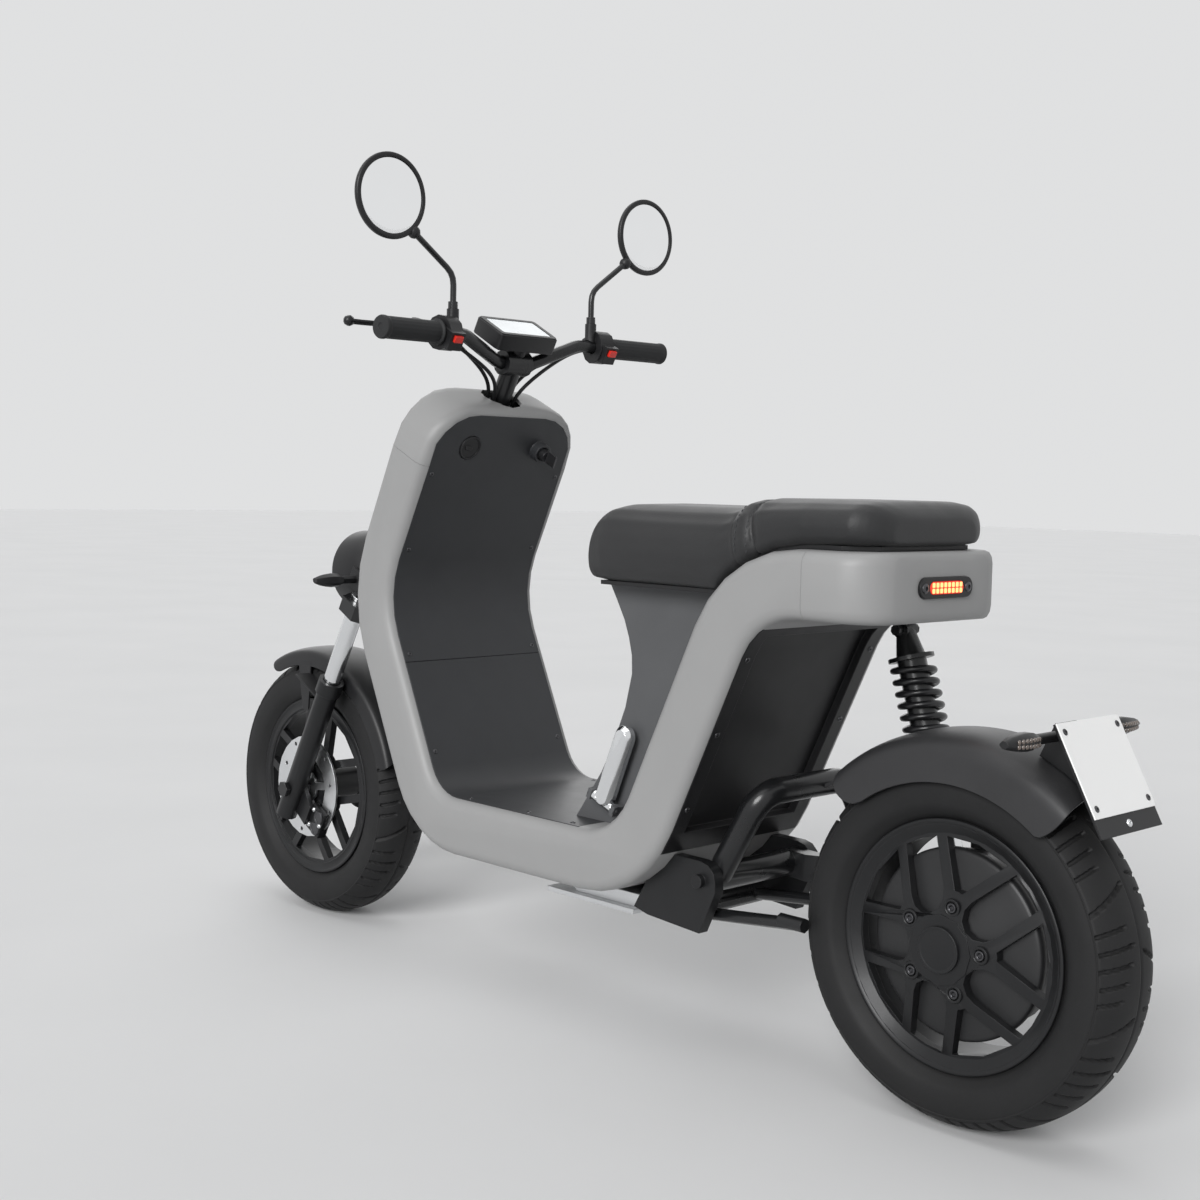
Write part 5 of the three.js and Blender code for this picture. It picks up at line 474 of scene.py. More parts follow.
def close_notches(vertices, faces):
    """The tail cap's hollow just breaks through its round edges in four places. The outside closes over them."""
    middle, half_height, play = 0.7, 0.04, 0.0012
    notches = {}
    for index, v in enumerate(vertices):
        side, level = copysign(1, v.y), copysign(1, v.z - middle)
        at_edge = 0.1575 < abs(v.y) < 0.1592 and abs(abs(v.z - middle) - half_height) < play
        if at_edge and -0.583 < v.x < -0.558:
            notches.setdefault((side, level), []).append(index)
    out = []
    for polygon in faces:
        normal = (vertices[polygon[1]] - vertices[polygon[0]]).cross(vertices[polygon[2]] - vertices[polygon[1]])
        normal.normalize()
        if abs(normal.y) > 0.6 and abs(normal.z) > 0.6:
            for corners in notches.values():
                polygon = [i for i in polygon if i not in corners]
        out.append(polygon)
    for (side, level), corners in notches.items():
        for i in corners:
            vertices[i] = vertices[i] - Vector((0, side, level)) * play
        if len(corners) == 3:
            out.append(corners)
    return vertices, out


def refine(node):
    """Stands a smoother copy of a CAD node in its place: same surfaces, with rounded edges and even shading."""
    shape = welded(node)
    if node == "tail_cap":
        shape = close_notches(*shape)
    smooth = TUBE_SMOOTH if node in TUBES else OTHER_SMOOTH
    look = screw_steel if node == "key_lock" else None
    piece = add_piece(node + "_shape", shape, body_of[node], slot_of[node], smooth, look)
    if node in EDGES:
        with_settings(piece.modifiers.new("edges", "BEVEL"), width=EDGES[node], segments=2, limit_method="ANGLE",
                      angle_limit=radians(smooth), harden_normals=True, use_clamp_overlap=True)
    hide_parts(node)
    return piece


def open_rear_rim(mesh):
    """The flat flange becomes a narrow lip: its inner edge moves out, and wheel_trim closes the space behind."""
    lip_radius, flange_out = 0.1583, 0.047
    for vertex in mesh.vertices:
        arm = (vertex.co - REAR_AXLE).xz
        if 0.14 < arm.length < 0.152 and abs(vertex.co.y) > flange_out:
            arm *= lip_radius / arm.length
            vertex.co.x, vertex.co.z = REAR_AXLE.x + arm.x, REAR_AXLE.z + arm.y
    mesh.update()


# Control cables: from each switch pod round to the collar on the steering stem, in the steering frame
CABLE_RADIUS = 0.0032
CABLES = {  # side, place at the pod, place beside the head, and end above the collar
    "cable_left_front": (1, (14.0, 963.6), (15.5, 903.5), (8.2, 22.5)),
    "cable_left_rear": (1, (5.6, 957.7), (-12.7, 911.3), (-8.2, 22.5)),
    "cable_right_front": (-1, (12.6, 964.0), (15.4, 902.9), (9.3, 22.1)),
    "cable_right_rear": (-1, (4.2, 958.2), (-12.7, 910.7), (-7.1, 22.9)),
}


def control_cables():
    for name, (side, (pod_x, pod_z), (head_x, head_z), (end_x, end_y)) in CABLES.items():
        points = [(pod_x, 155.4, pod_z), (pod_x, 145.1, pod_z), (pod_x + 11.2, 121.7, pod_z - 16.8),
                  (head_x, 45.6, head_z), (end_x, end_y, 872.1), (end_x, end_y, 845.7)]
        route = curve([on_steering(x, side * y, z) for x, y, z in points], 8, drawn_towards)
        piece = add_piece(name, sweep(route, CABLE_RADIUS, 14), "steering", "cable_rubber", 60)
        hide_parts("control_cables")
    collar = [(0.0173, 0.0), (0.0285, 0.0), (0.031, 0.0025), (0.031, 0.009), (0.0295, 0.0128), (0.026, 0.015),
              (0.0195, 0.0156), (0.0173, 0.0148), (0.0173, 0.0)]
    add_piece("cable_collar", lathe(collar, on_steering(0, 0, 833.7), STEER_UP), "steering", "cable_rubber", 50,
              stands_for="control_cables")


def seat_base():
    """A plate a little inside the cushion's outline, as the photograph's thin dark line has it, and its hinge."""
    inset_front, inset_side, inset_rear, corner = 0.05, 0.021, 0.016, 0.036
    hinge_half, hinge_top = 0.05, 0.6785
    low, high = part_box("seat_cushion")
    points, polygons = welded("seat_base")
    half = max(v.y for v in points)
    edge = max((p for p in polygons if all(points[i].y > half - 0.0001 for i in p)), key=len)
    outline = [(points[i].x, points[i].z) for i in edge]
    rear = min(x for x, _ in outline) + 0.001
    width, end = high.y - inset_side, low.x + inset_rear
    rows = ((-width, end + corner), (-width + corner, end), (width - corner, end), (width, end + corner))
    front = high.x - inset_front
    plate = [Vector((back if x < rear else min(front, x), y, z)) for y, back in rows for x, z in outline]
    hinge = [p for p in polygons if all(abs(points[i].y) < hinge_half and points[i].z < hinge_top for i in p)]
    tongue = rounded_plate(Vector((-0.1393, 0, 0.6723)), FORWARD, LEFT, 0.0335, 0.094, 0.004, 0.0067)
    add_piece("seat_base_shape", [(plate, skin(4, len(outline))), part_of(points, hinge), tongue], "seat",
              slot_of["seat_base"], 38, stands_for="seat_base")


def foot_rests():
    """Plated bars with eased edges and round ends, on barrels that turn about pins in the black roots."""
    along = Vector((-sin(PEG_LEAN), 0, cos(PEG_LEAN)))
    across = Vector((cos(PEG_LEAN), 0, sin(PEG_LEAN)))
    half, thick, chamfer, turn = 0.0172, 0.011, 0.0062, 0.0009
    near_end, far_end, ear_out, washer = 0.0092, 0.1108, 0.0303, 0.0012
    rings = [(-thick, chamfer + turn), (-thick + 0.4 * turn, chamfer - 0.2 * turn), (-thick + chamfer, turn * 0.5),
             (-thick + chamfer + turn, 0.0)]
    rings += [(-depth, inset) for depth, inset in reversed(rings)]
    outline = []
    for quarter, base in ((0, far_end), (1, near_end)):
        for k in range(17):
            angle = pi * (quarter + k / 16)
            outline.append((cos(angle), sin(angle), base))
    barrel = [(0.0035, -0.0215), (0.0072, -0.0215), (0.008, -0.0207), (0.008, 0.0207), (0.0072, 0.0215),
              (0.0035, 0.0215), (0.0035, -0.0215)]
    disc = [(0, 0), (0.0086, 0), (0.0086, 0.0009), (0.0078, 0.0016), (0, 0.0016)]
    for side, label in SIDES:
        pivot = Vector(joint_of["peg_%s_fold" % label]["pos_m"])
        vertices = [pivot + across * (half - inset) * x + along * (base + (half - inset) * y)
                    + LEFT * depth * side for depth, inset in rings for x, y, base in outline]
        faces = [p[::-side] for p in skin(len(rings), len(outline))]
        add_piece("foot_rest_" + label, [(vertices, faces), lathe(barrel, pivot, across, 40)], "peg_" + label,
                  "chrome", 22, stands_for="footpeg_" + label)
        ends = (across, -across)
        add_piece("foot_rest_pin_" + label, [screw(pivot + end * ear_out, end, 0.0052, 0.002) for end in ends]
                  + [lathe(disc, pivot + end * (ear_out - washer), end, 32) for end in ends],
                  "chassis", "satin_black", 40, screw_steel)


def mirrors():
    """A spun shell, a slightly domed glass and the knuckle on the stem's ball."""
    shell = [(0, 0), (0.018, 0.0004), (0.0396, 0.0024), (0.053, 0.0052), (0.0627, 0.009), (0.0652, 0.0118),
             (0.066, 0.0155), (0.0658, 0.0178), (0.0645, 0.0194), (0.062, 0.02), (0.0592, 0.02), (0.0582, 0.0192),
             (0.058, 0.0172), (0, 0.0172)]
    glass = [(0.0579, 0.0172), (0.0577, 0.018), (0.0565, 0.0184), (0.045, 0.0187), (0.025, 0.019), (0, 0.0191)]
    ball = [(0, -0.0102), (0.0062, -0.0081), (0.0096, -0.0035), (0.0102, 0.001), (0.0086, 0.0056),
            (0.0058, 0.0092), (0.0052, 0.0105)]
    for side, label in SIDES:
        centre = Vector((0.20067, side * 0.279, 1.25825))
        joint = Vector((0.18667, side * 0.232, 1.20825))
        inward = (centre - joint).normalized()
        foot = joint + inward * 0.016 + FORWARD * 0.004
        neck = sweep([joint + FORWARD * 0.001, joint.lerp(foot, 0.5) + FORWARD * 0.001, foot],
                     [0.0062, 0.006, 0.0058], 16)
        body = body_of["mirror_" + label]
        shapes = [lathe(shell, centre, -FORWARD, 72), lathe(ball, joint, inward, 28), neck]
        add_piece("mirror_shell_" + label, shapes, body, "satin_black", 45, stands_for="mirror_" + label)
        add_piece("mirror_glass_" + label, lathe(glass, centre, -FORWARD, 72), body, "mirror_glass", 60)


def grips():
    """Ribbed rubber sleeves on the bar ends."""
    rings, ribs, steps, plain = 26, 18, 72, 0.012
    for side, node in ((1, "grip_left"), (-1, "throttle_grip")):
        inner = on_steering(-2.2, side * 125, 967.7)
        outward = (on_steering(-22.0, side * 303, 975.7) - inner).normalized()
        spans = [(v.co - inner).dot(outward) for v in nodes[node].data.vertices]
        start, length = min(spans), max(spans) - min(spans)
        profile = [(0.0116, 0.0), (0.0198, 0.0), (0.021, 0.0012), (0.021, 0.0038), (0.0198, 0.005),
                   (0.0176, 0.0062)]
        for k in range(rings):
            at = 0.009 + (length - 0.021) * k / (rings - 1)
            profile += [(0.0174, at - 0.0009), (0.0171, at)]
        profile += [(0.0176, length - 0.0085), (0.0184, length - 0.0065), (0.0184, length - 0.0022),
                    (0.0172, length), (0.006, length), (0.0052, length - 0.0012), (0.0, length - 0.0012)]
        vertices, faces = lathe(profile, inner + outward * start, outward, steps)
        for index, vertex in enumerate(vertices):
            along = (vertex - inner).dot(outward) - start
            if plain < along < length - plain:
                axis = inner + outward * (start + along)
                rib = 1 + 0.014 * cos(ribs * 2 * pi * (index % steps) / steps)
                vertices[index] = axis + (vertex - axis) * rib
        add_piece(node + "_sleeve", (vertices, faces), body_of[node], "grip_rubber", 40, stands_for=node)


def guard(node, look, centre, radius, half, skirt, start, end, front_tip, rear_tip, keep):
    """A smooth arch with round tips, angles in degrees. Its stays and tongue are kept from the CAD shape."""
    wall, steps = 0.003, 56
    outline = [(-1, -1), (-0.985, -0.68), (-0.95, -0.36), (-0.86, -0.185), (-0.68, -0.085), (-0.4, -0.022), (0, 0)]
    outline += [(-y, drop) for y, drop in outline[-2::-1]]
    section = curve([Vector((y * half, drop * skirt, 0)) for y, drop in outline], 5, led_through)
    vertices = []
    for i in range(steps + 1):
        for layer, line in enumerate((section, section[::-1])):
            for spot in line:
                share = 1 + spot.y / skirt
                bow = 1 - sqrt(max(0.0, 1 - (2 * share - 1) ** 2))
                low, high = radians(start + front_tip * bow), radians(end - rear_tip * bow)
                angle = low + (high - low) * i / steps
                size = radius + spot.y - layer * wall * (0.25 + 0.75 * share)
                across = spot.x * (1 - layer * wall / half)
                vertices.append(centre + Vector((size * cos(angle), across, size * sin(angle))))
    ring = 2 * len(section)
    faces = skin(steps + 1, ring, caps=False)
    for base in (0, steps * ring):
        for k in range(len(section) - 1):
            quad = [base + k, base + k + 1, base + ring - 2 - k, base + ring - 1 - k]
            faces.append(quad if base else quad[::-1])
    points, polygons = welded(node)
    kept = [p for p in polygons if any(keep((points[i] - centre).xz.length) for i in p)]
    add_piece(node + "_shape", [(vertices, faces), part_of(points, kept)], body_of[node], slot_of[node], 40, look,
              node)


def rear_hoop():
    """A round tube over the faceted one."""
    path = fillet_path([(-0.3438, 0.08, 0.2694), (-0.42, 0.08, 0.40053), (-0.42, -0.116, 0.40053),
                        (-0.493, -0.116, 0.2575)], 0.034)
    add_piece("rear_hoop_tube", sweep(path, 0.0187, 28), "rear_arm", "frame_steel")


def stroke(arc, across, start, end, width, depth):
    """Depth of one straight groove between two (arc, across) places, with round ends."""
    along = np.array(end, float) - np.array(start, float)
    length = float(np.hypot(*along))
    direction = along / length
    u = (arc - start[0]) * direction[0] + (across - start[1]) * direction[1]
    v = -(arc - start[0]) * direction[1] + (across - start[1]) * direction[0]
    away = np.hypot(v, np.maximum(np.maximum(-u, u - length), 0.0))
    return depth * np.clip((width / 2 - away) / 0.0011 + 0.5, 0, 1)


def road_tread(angle, across, half):
    """Groups of cross grooves on each shoulder, one slanted groove between groups, and a shallow middle line."""
    groups = 9
    grooves = ((0.36, 0.98), (0.22, 0.9), (0.3, 0.98), (0.44, 0.9), (0.54, 0.98))
    pitch = 2 * pi * TYRE_RADIUS / groups
    arc = (angle * TYRE_RADIUS) % pitch + 0 * across
    depth = np.zeros(np.broadcast(angle, across).shape)
    for side, shift in ((1, 0.0), (-1, 0.5)):
        place = (arc + shift * pitch) % pitch
        y = side * across + 0 * place
        for index, (inner, outer) in enumerate(grooves):
            start = 0.014 + index * pitch * 0.135
            depth = np.maximum(depth, stroke(place, y, (start, half * inner), (start + 0.006, half * outer),
                                             0.0052, 0.0052))
        slant = pitch * 0.78
        depth = np.maximum(depth, stroke(place, y, (slant, half * 0.12), (slant + 0.03, half * 0.98),
                                         0.0058, 0.0054))
    middle = 0.002 * np.clip((0.0018 - np.abs(across + 0 * angle)) / 0.0008 + 0.5, 0, 1)
    return np.maximum(depth, middle)


def tyre(end, axle, width, rim_width):
    """A round carcass with a groove pattern cut into the tread."""
    around, crown_steps, crown_foot, tread_foot = 1080, 30, 0.2205, 0.2199
    bead, half = rim_width / 2 - 0.0053, width / 2
    line = [
        (0.1525, bead), (0.1652, bead + 0.0004), (0.1668, bead + 0.003), (0.1712, bead + 0.0058),
        (0.178, half * 0.93), (0.188, half * 0.985), (0.2, half), (0.209, half * 0.992), (0.2165, half * 0.96),
        (0.2172, half * 0.972), (0.2186, half * 0.972), (0.2193, half * 0.955),
    ]
    shoulder = half * 0.95
    for i in range(crown_steps):
        y = shoulder * (1 - i / crown_steps)
        line.append((crown_foot + (TYRE_RADIUS - crown_foot) * (1 - (y / shoulder) ** 2.6), y))
    full = line + [(TYRE_RADIUS, 0.0)] + [(r, -y) for r, y in reversed(line)]
    radii = np.array([r for r, _ in full])
    across = np.array([y for _, y in full])
    angle = np.arange(around) * 2 * pi / around
    tread = (radii > tread_foot).astype(float)[None, :]
    radius = radii[None, :] - road_tread(angle[:, None], across[None, :], half) * tread
    x = axle.x + radius * np.cos(angle)[:, None]
    z = axle.z + radius * np.sin(angle)[:, None]
    y = np.broadcast_to(across[None, :], radius.shape)
    vertices = np.stack([x, y, z], axis=-1).reshape(-1, 3)
    add_piece(end + "_tyre_tread", (vertices, skin(around, len(full), around=True)), end + "_wheel", "tyre_rubber",
              42, stands_for=end + "_tyre")


def suspension_spring():
    """An even coil on the leaning unit."""
    turns, radius, wire, steps, top_seat = 13, 0.0285, 0.0048, 28, 0.581
    low = Vector((-0.611, -0.116, 0.30003))
    high = Vector((-0.51244, -0.116, 0.62803))
    length = (high - low).length
    turn = frame_along(high - low)
    start, end = length * 0.2 + 0.0049, length * 0.87 - 0.0049
    path = []
    for i in range(turns * steps + 1):
        angle = 2 * pi * i / steps
        rise = start + (end - start) * i / (turns * steps)
        path.append(low + turn @ Vector((radius * cos(angle), radius * sin(angle), rise)))
    piece = add_piece("shock_spring_coil", sweep(path, wire), "damper_body", "spring_steel", 60)
    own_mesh(piece)
    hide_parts("shock_spring")


# Seat: the CAD cushion, swollen a little by simulation, with its seam and stitched band
SEAM_X = 0.276 - WHEELBASE / 2
CLOTH_FRAMES = 12
MOST_SWELL = 0.004


def seam_line(height):
    """The seam leans back towards the bottom of the cushion."""
    return SEAM_X - 0.018 * np.clip((0.79 - height) / 0.07, 0.0, 1.0)


def read_points(mesh, what="co"):
    values = np.zeros(len(mesh.vertices) * 3)
    mesh.vertices.foreach_get(what, values)
    return values.reshape(-1, 3)


def write_points(mesh, places):
    mesh.vertices.foreach_set("co", places.reshape(-1).astype(np.float32))
    mesh.update()


def swell_step(piece, rest):
    """How far each point moves when the cover is blown up, evened out over the mesh to keep it from puckering."""
    cloth = piece.modifiers.new("swell", "CLOTH")
    with_settings(cloth.settings, quality=4, use_pressure=True, uniform_pressure_force=4.0, tension_stiffness=40,
                  bending_stiffness=4)
    cloth.settings.effector_weights.gravity = 0.0
    with_settings(cloth.point_cache, frame_start=1, frame_end=CLOTH_FRAMES)
    for number in range(1, CLOTH_FRAMES + 1):
        scene.frame_set(number)
    swollen = piece.evaluated_get(bpy.context.evaluated_depsgraph_get())
    moved = read_points(swollen.to_mesh())
    swollen.to_mesh_clear()
    piece.modifiers.remove(cloth)
    scene.frame_set(1)
    if len(moved) != len(rest):
        return 0.0
    step = moved - rest
    size = np.linalg.norm(step, axis=1, keepdims=True)
    step *= np.minimum(1.0, MOST_SWELL / np.maximum(size, 1e-9))
    ends = np.zeros(len(piece.data.edges) * 2, dtype=np.int64)
    piece.data.edges.foreach_get("vertices", ends)
    first, second = ends.reshape(-1, 2).T
    shared = np.bincount(ends, minlength=len(step))[:, None]
    for _ in range(24):
        total = np.zeros_like(step)
        np.add.at(total, first, step[second])
        np.add.at(total, second, step[first])
        step = 0.5 * step + 0.5 * total / np.maximum(shared, 1)
    return step


def seat_cushion():
    piece = add_piece("seat_cushion_cover", welded("seat_cushion"), "seat", "seat_vinyl", 180)
    bpy.context.view_layer.objects.active = piece
    for other in bpy.context.selected_objects:
        other.select_set(False)
    piece.select_set(True)
    with_settings(piece.data, remesh_voxel_size=0.005, use_remesh_fix_poles=True)
    bpy.ops.object.voxel_remesh()
    rest = read_points(piece.data)
    rest = rest + swell_step(piece, rest)
    rest[:, 2] = np.minimum(rest[:, 2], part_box("seat_cushion")[1].z + 0.0025)
    write_points(piece.data, rest)
    with_settings(piece.modifiers.new("relax", "SMOOTH"), factor=0.5, iterations=3)
    with_settings(piece.modifiers.new("finer", "SUBSURF"), levels=1, render_levels=1)
    mesh = bpy.data.meshes.new_from_object(piece.evaluated_get(bpy.context.evaluated_depsgraph_get()))
    piece.modifiers.clear()
    piece.data = mesh
    places = read_points(mesh)
    ahead = places[:, 0] - seam_line(places[:, 2])
    groove = 0.0035 * np.exp(-(ahead / 0.0028) ** 2)
    hem = 0.0018 * np.exp(-((ahead - 0.036) / 0.0022) ** 2)
    puff = 0.0022 * np.exp(-((ahead - 0.018) / 0.011) ** 2)
    write_points(mesh, places + read_points(mesh, "normal") * (puff - groove - hem)[:, None])
    mesh.shade_smooth()
    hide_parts("seat_cushion")
    return piece


def seat_stitches(cushion):
    """Two rows of short stitches along the band in front of the seam, over the top and down both sides."""
    half_length, lift_by, thread, lowest = 0.0021, 0.0003, 0.0006, 0.735
    ends, away, middle = 58, 0.3, 0.7
    shapes = []
    for row in (0.0085, 0.0275):
        for k in range(-ends, ends + 1, 2):
            angle = k / ends * radians(84)
            out = Vector((0, sin(angle), cos(angle)))
            shift = float(seam_line(np.array(0.80 - 0.05 * abs(k) / ends)))
            hit = surface_point(cushion, out * away + Vector((shift + row, 0, middle)), -out)
            if hit is None or hit[0].z < lowest:
                continue
            place, normal = hit
            along = Vector((0, out.z, -out.y))
            along = (along - normal * along.dot(normal)).normalized() * half_length
            lift = normal * lift_by
            shapes.append(sweep([place - along - lift, place - along * 0.6 + lift * 1.6,
                                 place + along * 0.6 + lift * 1.6, place + along - lift], thread, 6))
    add_piece("seat_stitching", shapes, "seat", "seat_vinyl", 60, thread_black)


def panel_screws(refined):
    """Pairs of button heads, set where a line from outside meets a panel."""
    leg, floor, back = (refined[name] for name in ("leg_panel", "floor_panel", "rear_panel"))
    wide, narrow, small, large, sink = 0.137, 0.065, 0.0042, 0.0046, 0.0002
    lines = [((leg, floor), -0.05, wide, height, FORWARD, small) for height in (0.834, 0.708, 0.534, 0.379)]
    lines += [((leg,), -0.05, narrow, 0.935, FORWARD, small)]
    lines += [((floor,), x, wide, 0.5, -UP, small) for x in (0.14, 0.0, -0.1)]
    lines += [((back,), -0.9, wide, height, FORWARD, large) for height in (0.592, 0.483, 0.370)]
    shapes = []
    for panels, x, y, z, direction, head in lines:
        for side in (1, -1):
            hits = filter(None, (surface_point(panel, (x, side * y, z), direction) for panel in panels))
            for place, normal in list(hits)[:1]:
                shapes.append(screw(place - normal * sink, normal, head))
    add_piece("panel_screws", shapes, "chassis", "satin_black", 40, screw_steel)


def cover_ring():
    """The charge cover's raised rim and finger tab, on whichever leaning axis the cover is thinnest along."""
    low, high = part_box("charge_cover")
    middle = (low + high) / 2
    axes = [Vector((-cos(a), 0, sin(a))) for a in (PANEL_LEAN, -PANEL_LEAN)]
    axis = min(axes, key=lambda axis: reach("charge_cover", axis) - middle.dot(axis))
    out = reach("charge_cover", axis) - middle.dot(axis)
    size = (high.y - low.y) / 2
    rim = [(size - inset, out + rise) for inset, rise in
           ((0.0002, -0.0004), (0.0004, 0.0012), (0.0014, 0.0018), (0.0032, 0.0012), (0.0036, -0.0004))]
    tab = rounded_plate(middle + axis * out + LEFT * 0.003, LEFT, axis.cross(LEFT), size * 0.7, size * 0.36, 0.002,
                        0.0016)
    add_piece("charge_cover_ring", [lathe(rim, middle, axis, 56), tab], body_of["charge_cover"], "satin_black", 45)


def wheel_trim(body, axle, hub_out, lug_face, lip_out, first_angle, cap_rise, open_rim=False):
    """Bolts in their lugs, a hub cap and a rounded rim lip. The lengths are distances from the wheel's middle."""
    bolts, bolt_circle, bolt_foot = 5, 0.058, hub_out - 0.006
    steel, dark = [], []
    rise = lug_face - bolt_foot
    lug = [(0.0079, rise - 0.0008), (0.0082, rise + 0.0012), (0.0096, rise + 0.0019), (0.0114, rise + 0.0014),
           (0.0122, rise - 0.0008)]
    for i in range(bolts):
        angle = radians(first_angle) + i * 2 * pi / bolts
        foot = axle + Vector((bolt_circle * cos(angle), bolt_foot, bolt_circle * sin(angle)))
        steel.append(lathe([(0.0066, 0.0001), (0.0066, 0.0042), (0.006, 0.005), (0.0042, 0.005)], foot, LEFT, 24))
        steel.append(lathe([(0.0042, 0.005), (0.0036, 0.0046), (0.0036, 0.0014), (0.0, 0.0014)], foot, LEFT, 6))
        dark.append(lathe(lug, foot, LEFT, 32))
    cap = hub_out + 0.0015 + cap_rise
    dark.append(lathe([(0.0303, hub_out + 0.0012), (0.0303, cap - 0.0004), (0.0297, cap + 0.0003),
                       (0.0262, cap + 0.0003), (0.0256, cap - 0.0001), (0.0245, cap + 0.0001),
                       (0.008, cap + 0.0005), (0.0, cap + 0.0005)], axle, LEFT, 56))
    lip = [(0.1657, -0.0006), (0.1652, 0.0013), (0.1638, 0.0022), (0.162, 0.0022), (0.1605, 0.0012)]
    if open_rim:
        lip += [(0.159, 0.0004), (0.1572, -0.0012), (0.1478, -0.0072), (0.146, -0.0084), (0.1459, -0.0096)]
    else:
        lip += [(0.159, 0.0003), (0.1512, 0.0003), (0.1496, 0.0012), (0.1478, 0.0016), (0.1464, 0.0008),
                (0.1459, -0.001)]
    profile = [(radius, lip_out + rise) for radius, rise in lip]
    profile += [(radius, -out) for radius, out in reversed(profile)]
    dark.append(lathe(profile, axle, LEFT, 128))
    add_piece(body + "_bolts", steel, body, "brushed_metal", 40, bolt_steel)
    add_piece(body + "_trim", dark, body, "black_casting")


def motor_cover():
    """A domed cover that touches the backs of the rear spokes and closes the view past the motor."""
    dome = [(0.044, 0.0535), (0.055, 0.0508), (0.07, 0.0472), (0.085, 0.0437), (0.1, 0.0403), (0.112, 0.0376),
            (0.1205, 0.0355), (0.1238, 0.0342), (0.1254, 0.0322), (0.126, 0.0295), (0.126, 0.0215),
            (0.1245, 0.0195), (0.117, 0.019), (0.117, 0.0262), (0.044, 0.0262), (0.044, 0.0535)]
    add_piece("motor_cover", lathe(dome, REAR_AXLE, LEFT, 112), "rear_wheel", "black_casting", 40, motor_paint)


def display_screen():
    """A bare screen made bright by a painted glow, and a frame with a sloping inner edge around it."""
    rise = 0.0014
    centre = on_steering(18, 0, 0)
    centre += STEER_UP * (reach("display", STEER_UP) - STEER_UP.dot(centre))
    screen = rounded_plate(centre, STEER_FORWARD, LEFT, 0.054, 0.104, 0.004, 0.0008)
    add_piece("display_screen", screen, "steering", "clear_lens", 40, painted_glow_screen)
    points, polygons = rounded_plate(centre, STEER_FORWARD, LEFT, 0.07, 0.122, 0.007, rise)
    inner = rounded_plate(centre, STEER_FORWARD, LEFT, 0.056, 0.106, 0.0045, rise)[0]
    count, base = len(points) // 3, len(points)
    points = points + inner[2 * count:] + inner[:count]
    ring = [p for p in polygons if len(p) == 4]
    for i in range(count):
        j = (i + 1) % count
        ring.append([2 * count + i, 2 * count + j, base + j, base + i])
        ring.append([base + i, base + j, base + count + j, base + count + i])
    add_piece("display_frame", (points, ring), "steering", "satin_black")


def plate_fixings():
    """Four screws in the number plate and the bolt below it."""
    normal = Vector((-cos(PLATE_LEAN), 0, sin(PLATE_LEAN)))
    up = Vector((sin(PLATE_LEAN), 0, cos(PLATE_LEAN)))
    centre = Vector((-0.897, 0.0, 0.49697))
    centre += normal * (reach("number_plate", normal) - normal.dot(centre))
    heads = [screw(centre + up * z + LEFT * y, normal, 0.0044) for y in (0.062, -0.062) for z in (0.049, -0.049)]
    add_piece("plate_screws", heads, body_of["number_plate"], "satin_black", 40, screw_steel)
    foot = centre - up * (0.061 + 0.0125) - normal * 0.0023
    add_piece("bracket_bolt", screw(foot, normal, 0.0052, 0.0022), body_of["plate_bracket"], "brushed_metal")


def indicator_beads():
    """Two rows of beads in each rear indicator, spread as wide as the pod is there."""
    bead = [(0.0031, 0.0), (0.0029, 0.0009), (0.002, 0.0018), (0.0, 0.0022)]
    widths, pod_length = (0.62, 0.95, 1.0, 0.9, 0.72, 0.4), 0.068
    shapes = []
    for side in (1, -1):
        for k in range(7):
            along = 0.011 + 0.0068 * k
            share = float(np.interp(along / pod_length * (len(widths) - 1), range(len(widths)), widths))
            for row in (-1, 1):
                place = Vector((-0.8504 - 0.015 * share, side * (0.088 + along), 0.531 + row * 0.0037 * share))
                shapes.append(lathe(bead, place, -FORWARD, 14))
    add_piece("rear_indicator_beads", shapes, body_of["plate_bracket"], "clear_lens", 60, smoked)


def lamp_blocks():
    """Two rows of lit blocks on the tail lamp and the screws at its ends."""
    low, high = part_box("tail_lamp_lens")
    middle = (low.z + high.z) / 2
    places = [Vector((low.x - 0.0001, (column - 3.5) * 0.0088, middle + row * 0.0038))
              for column in range(8) for row in (-1, 1)]
    blocks = [rounded_plate(place, LEFT, -UP, 0.0056, 0.0064, 0.0014, 0.001) for place in places]
    add_piece("tail_lamp_blocks", blocks, "chassis", "red_lens", 40, lit_column)
    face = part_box("tail_lamp_housing")[0].x
    ends = [screw(Vector((face, side * 0.0485, middle)), -FORWARD, 0.0068, 0.002) for side in (1, -1)]
    add_piece("tail_lamp_screws", ends, "chassis", "satin_black", 40, screw_steel)


def headlamp_bowl():
    """A spun bowl with a bright reflector behind the lens."""
    origin, body = Vector((0.51094, 0.0, 0.65544)), body_of["headlamp"]
    bowl = [(0, -0.0003), (0.03, -0.0003), (0.0345, 0.0009), (0.0448, 0.0075), (0.0523, 0.0154), (0.0603, 0.0262),
            (0.0666, 0.04), (0.0702, 0.0545), (0.0723, 0.0694), (0.0725, 0.109), (0.072, 0.1118), (0.0705, 0.1124),
            (0.0675, 0.1124), (0.0668, 0.1118), (0.0662, 0.1072)]
    add_piece("headlamp_bowl", lathe(bowl, origin, FORWARD, 72), body, "satin_black", 45)
    dish = [(0.0655, 0.1075), (0.06, 0.1092), (0.05, 0.1084), (0.04, 0.1078), (0.028, 0.1076), (0.026, 0.1092),
            (0.012, 0.1096), (0.0105, 0.1078), (0.009, 0.109), (0.006, 0.1104), (0, 0.111)]
    add_piece("headlamp_reflector", lathe(dish, origin, FORWARD, 72), body, "chrome", 45, reflector)


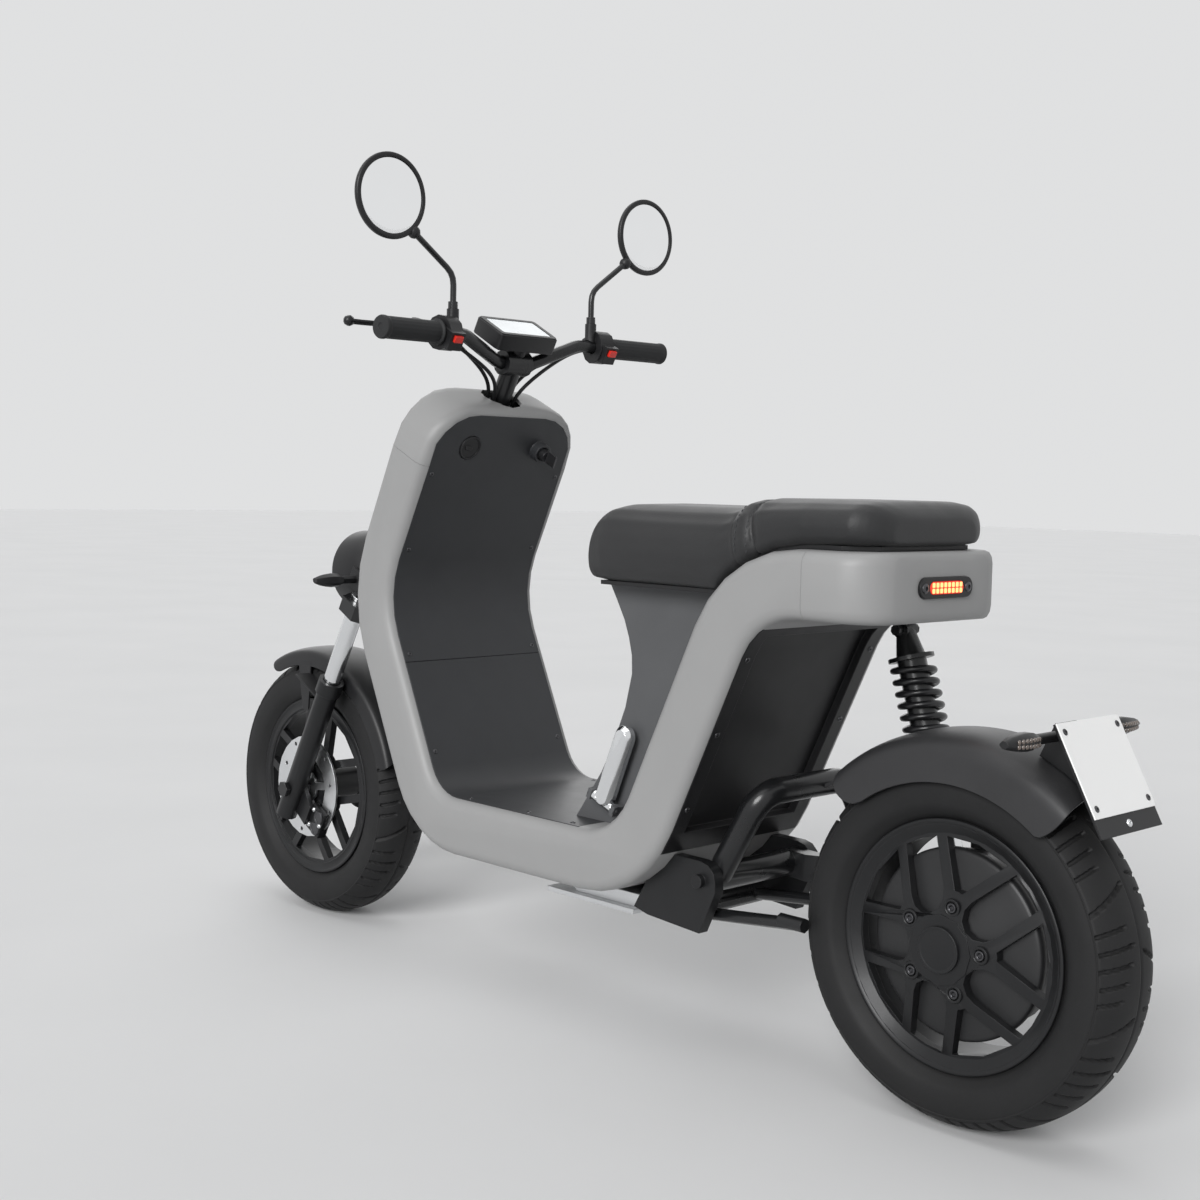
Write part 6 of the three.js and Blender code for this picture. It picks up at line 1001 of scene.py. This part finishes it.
def caliper_trim():
    """Two caps over the brake caliper's pistons and the bolts that close it."""
    face, body = 70.9, body_of["front_caliper"]
    cap = [(0.0128, 0.0), (0.0128, 0.0022), (0.0118, 0.0034), (0.0085, 0.0038), (0.0078, 0.0028), (0, 0.0028)]
    caps = [lathe(cap, on_steering(4, face, z), LEFT, 36) for z in (-17.5, -42.5)]
    add_piece("caliper_caps", caps, body, "black_casting", 40, screw_steel)
    heads = [screw(on_steering(x, face, z), LEFT, 0.0048, 0.0034) for x, z in ((24, -13), (24, -47), (-4.5, -30))]
    add_piece("caliper_bolts", heads, body, "brushed_metal")


# Stage, lights and the world
def stage():
    size = 30.0
    mesh = bpy.data.meshes.new("floor")
    mesh.from_pydata([(-size, -size, 0), (size, -size, 0), (size, size, 0), (-size, size, 0)], [], [[0, 1, 2, 3]])
    material, tree, shader = new_material("pale_floor")
    share = ramp(tree, noise(tree, add_node(tree, "TexCoord").outputs["Object"], 1.4, 4.0), 0.0, 1.0, 0.3, 0.7)
    tone = mix_colour(tree, share, (0.765, 0.768, 0.772, 1), (0.79, 0.792, 0.796, 1))
    connect(tree, shader, {"Base Color": tone, "Roughness": 0.85, "Specular IOR Level": 0.15})
    mesh.materials.append(material)
    new_object("floor", mesh)


def world():
    """Soft grey light on the surfaces, and a pale studio seen by the camera, in gloss and through clear parts."""
    sky = bpy.data.worlds.new("studio")
    sky.use_nodes = True
    scene.world = sky
    tree = sky.node_tree
    lit = tree.nodes["Background"]
    connect(tree, lit, {"Color": (0.8, 0.81, 0.82, 1.0), "Strength": 0.26})
    seen = add_node(tree, "Background", {"Color": (0.745, 0.75, 0.755, 1.0)})
    paths = add_node(tree, "LightPath").outputs
    share = paths["Is Camera Ray"]
    for kind in ("Is Glossy Ray", "Is Transmission Ray"):
        share = add_node(tree, "Math", {0: share, 1: paths[kind]}, operation="ADD", use_clamp=True).outputs[0]
    blend = add_node(tree, "MixShader", {0: share, 1: lit.outputs[0], 2: seen.outputs[0]})
    connect(tree, tree.nodes["World Output"], {"Surface": blend.outputs[0]})


def sun(name, toward, strength, spread):
    """A wide, even light that shines from the given direction."""
    data = with_settings(bpy.data.lights.new(name, "SUN"), energy=strength, angle=radians(spread))
    new_object(name, data).rotation_euler = Vector(toward).to_track_quat("Z", "Y").to_euler()


make_camera()
control_cables()
refined = {node: refine(node) for node in slot_of if node not in OWN_FORM}
open_rear_rim(refined["rear_rim"].data)
seat_base()
foot_rests()
mirrors()
grips()
guard("rear_fender", fender_plastic, REAR_AXLE, radius=0.279, half=0.075, skirt=0.064, start=46, end=131,
      front_tip=7.4, rear_tip=3, keep=lambda away: away > 0.2835)
guard("front_fender", looks["satin_black"], FRONT_AXLE, radius=0.263, half=0.061, skirt=0.034, start=62, end=165,
      front_tip=5, rear_tip=5, keep=lambda away: away < 0.222)
rear_hoop()
tyre("rear", REAR_AXLE, width=0.130, rim_width=0.098)
tyre("front", FRONT_AXLE, width=0.110, rim_width=0.084)
suspension_spring()
seat_stitches(seat_cushion())
panel_screws(refined)
cover_ring()
motor_cover()
wheel_trim("rear_wheel", REAR_AXLE, hub_out=0.070, lug_face=0.0669, lip_out=0.049, first_angle=32, cap_rise=0.004,
           open_rim=True)
wheel_trim("front_wheel", FRONT_AXLE, hub_out=0.050, lug_face=0.04905, lip_out=0.042, first_angle=60,
           cap_rise=0.0003)
display_screen()
plate_fixings()
indicator_beads()
lamp_blocks()
headlamp_bowl()
caliper_trim()
stage()
world()
sun("key", (-1.35, 3.6, 1.85), 2.5, 30)
sun("top", (0.3, 0.4, 3.0), 0.75, 60)
sun("fill", (2.6, -2.2, 1.6), 0.5, 50)

scene.view_settings.view_transform = "Standard"
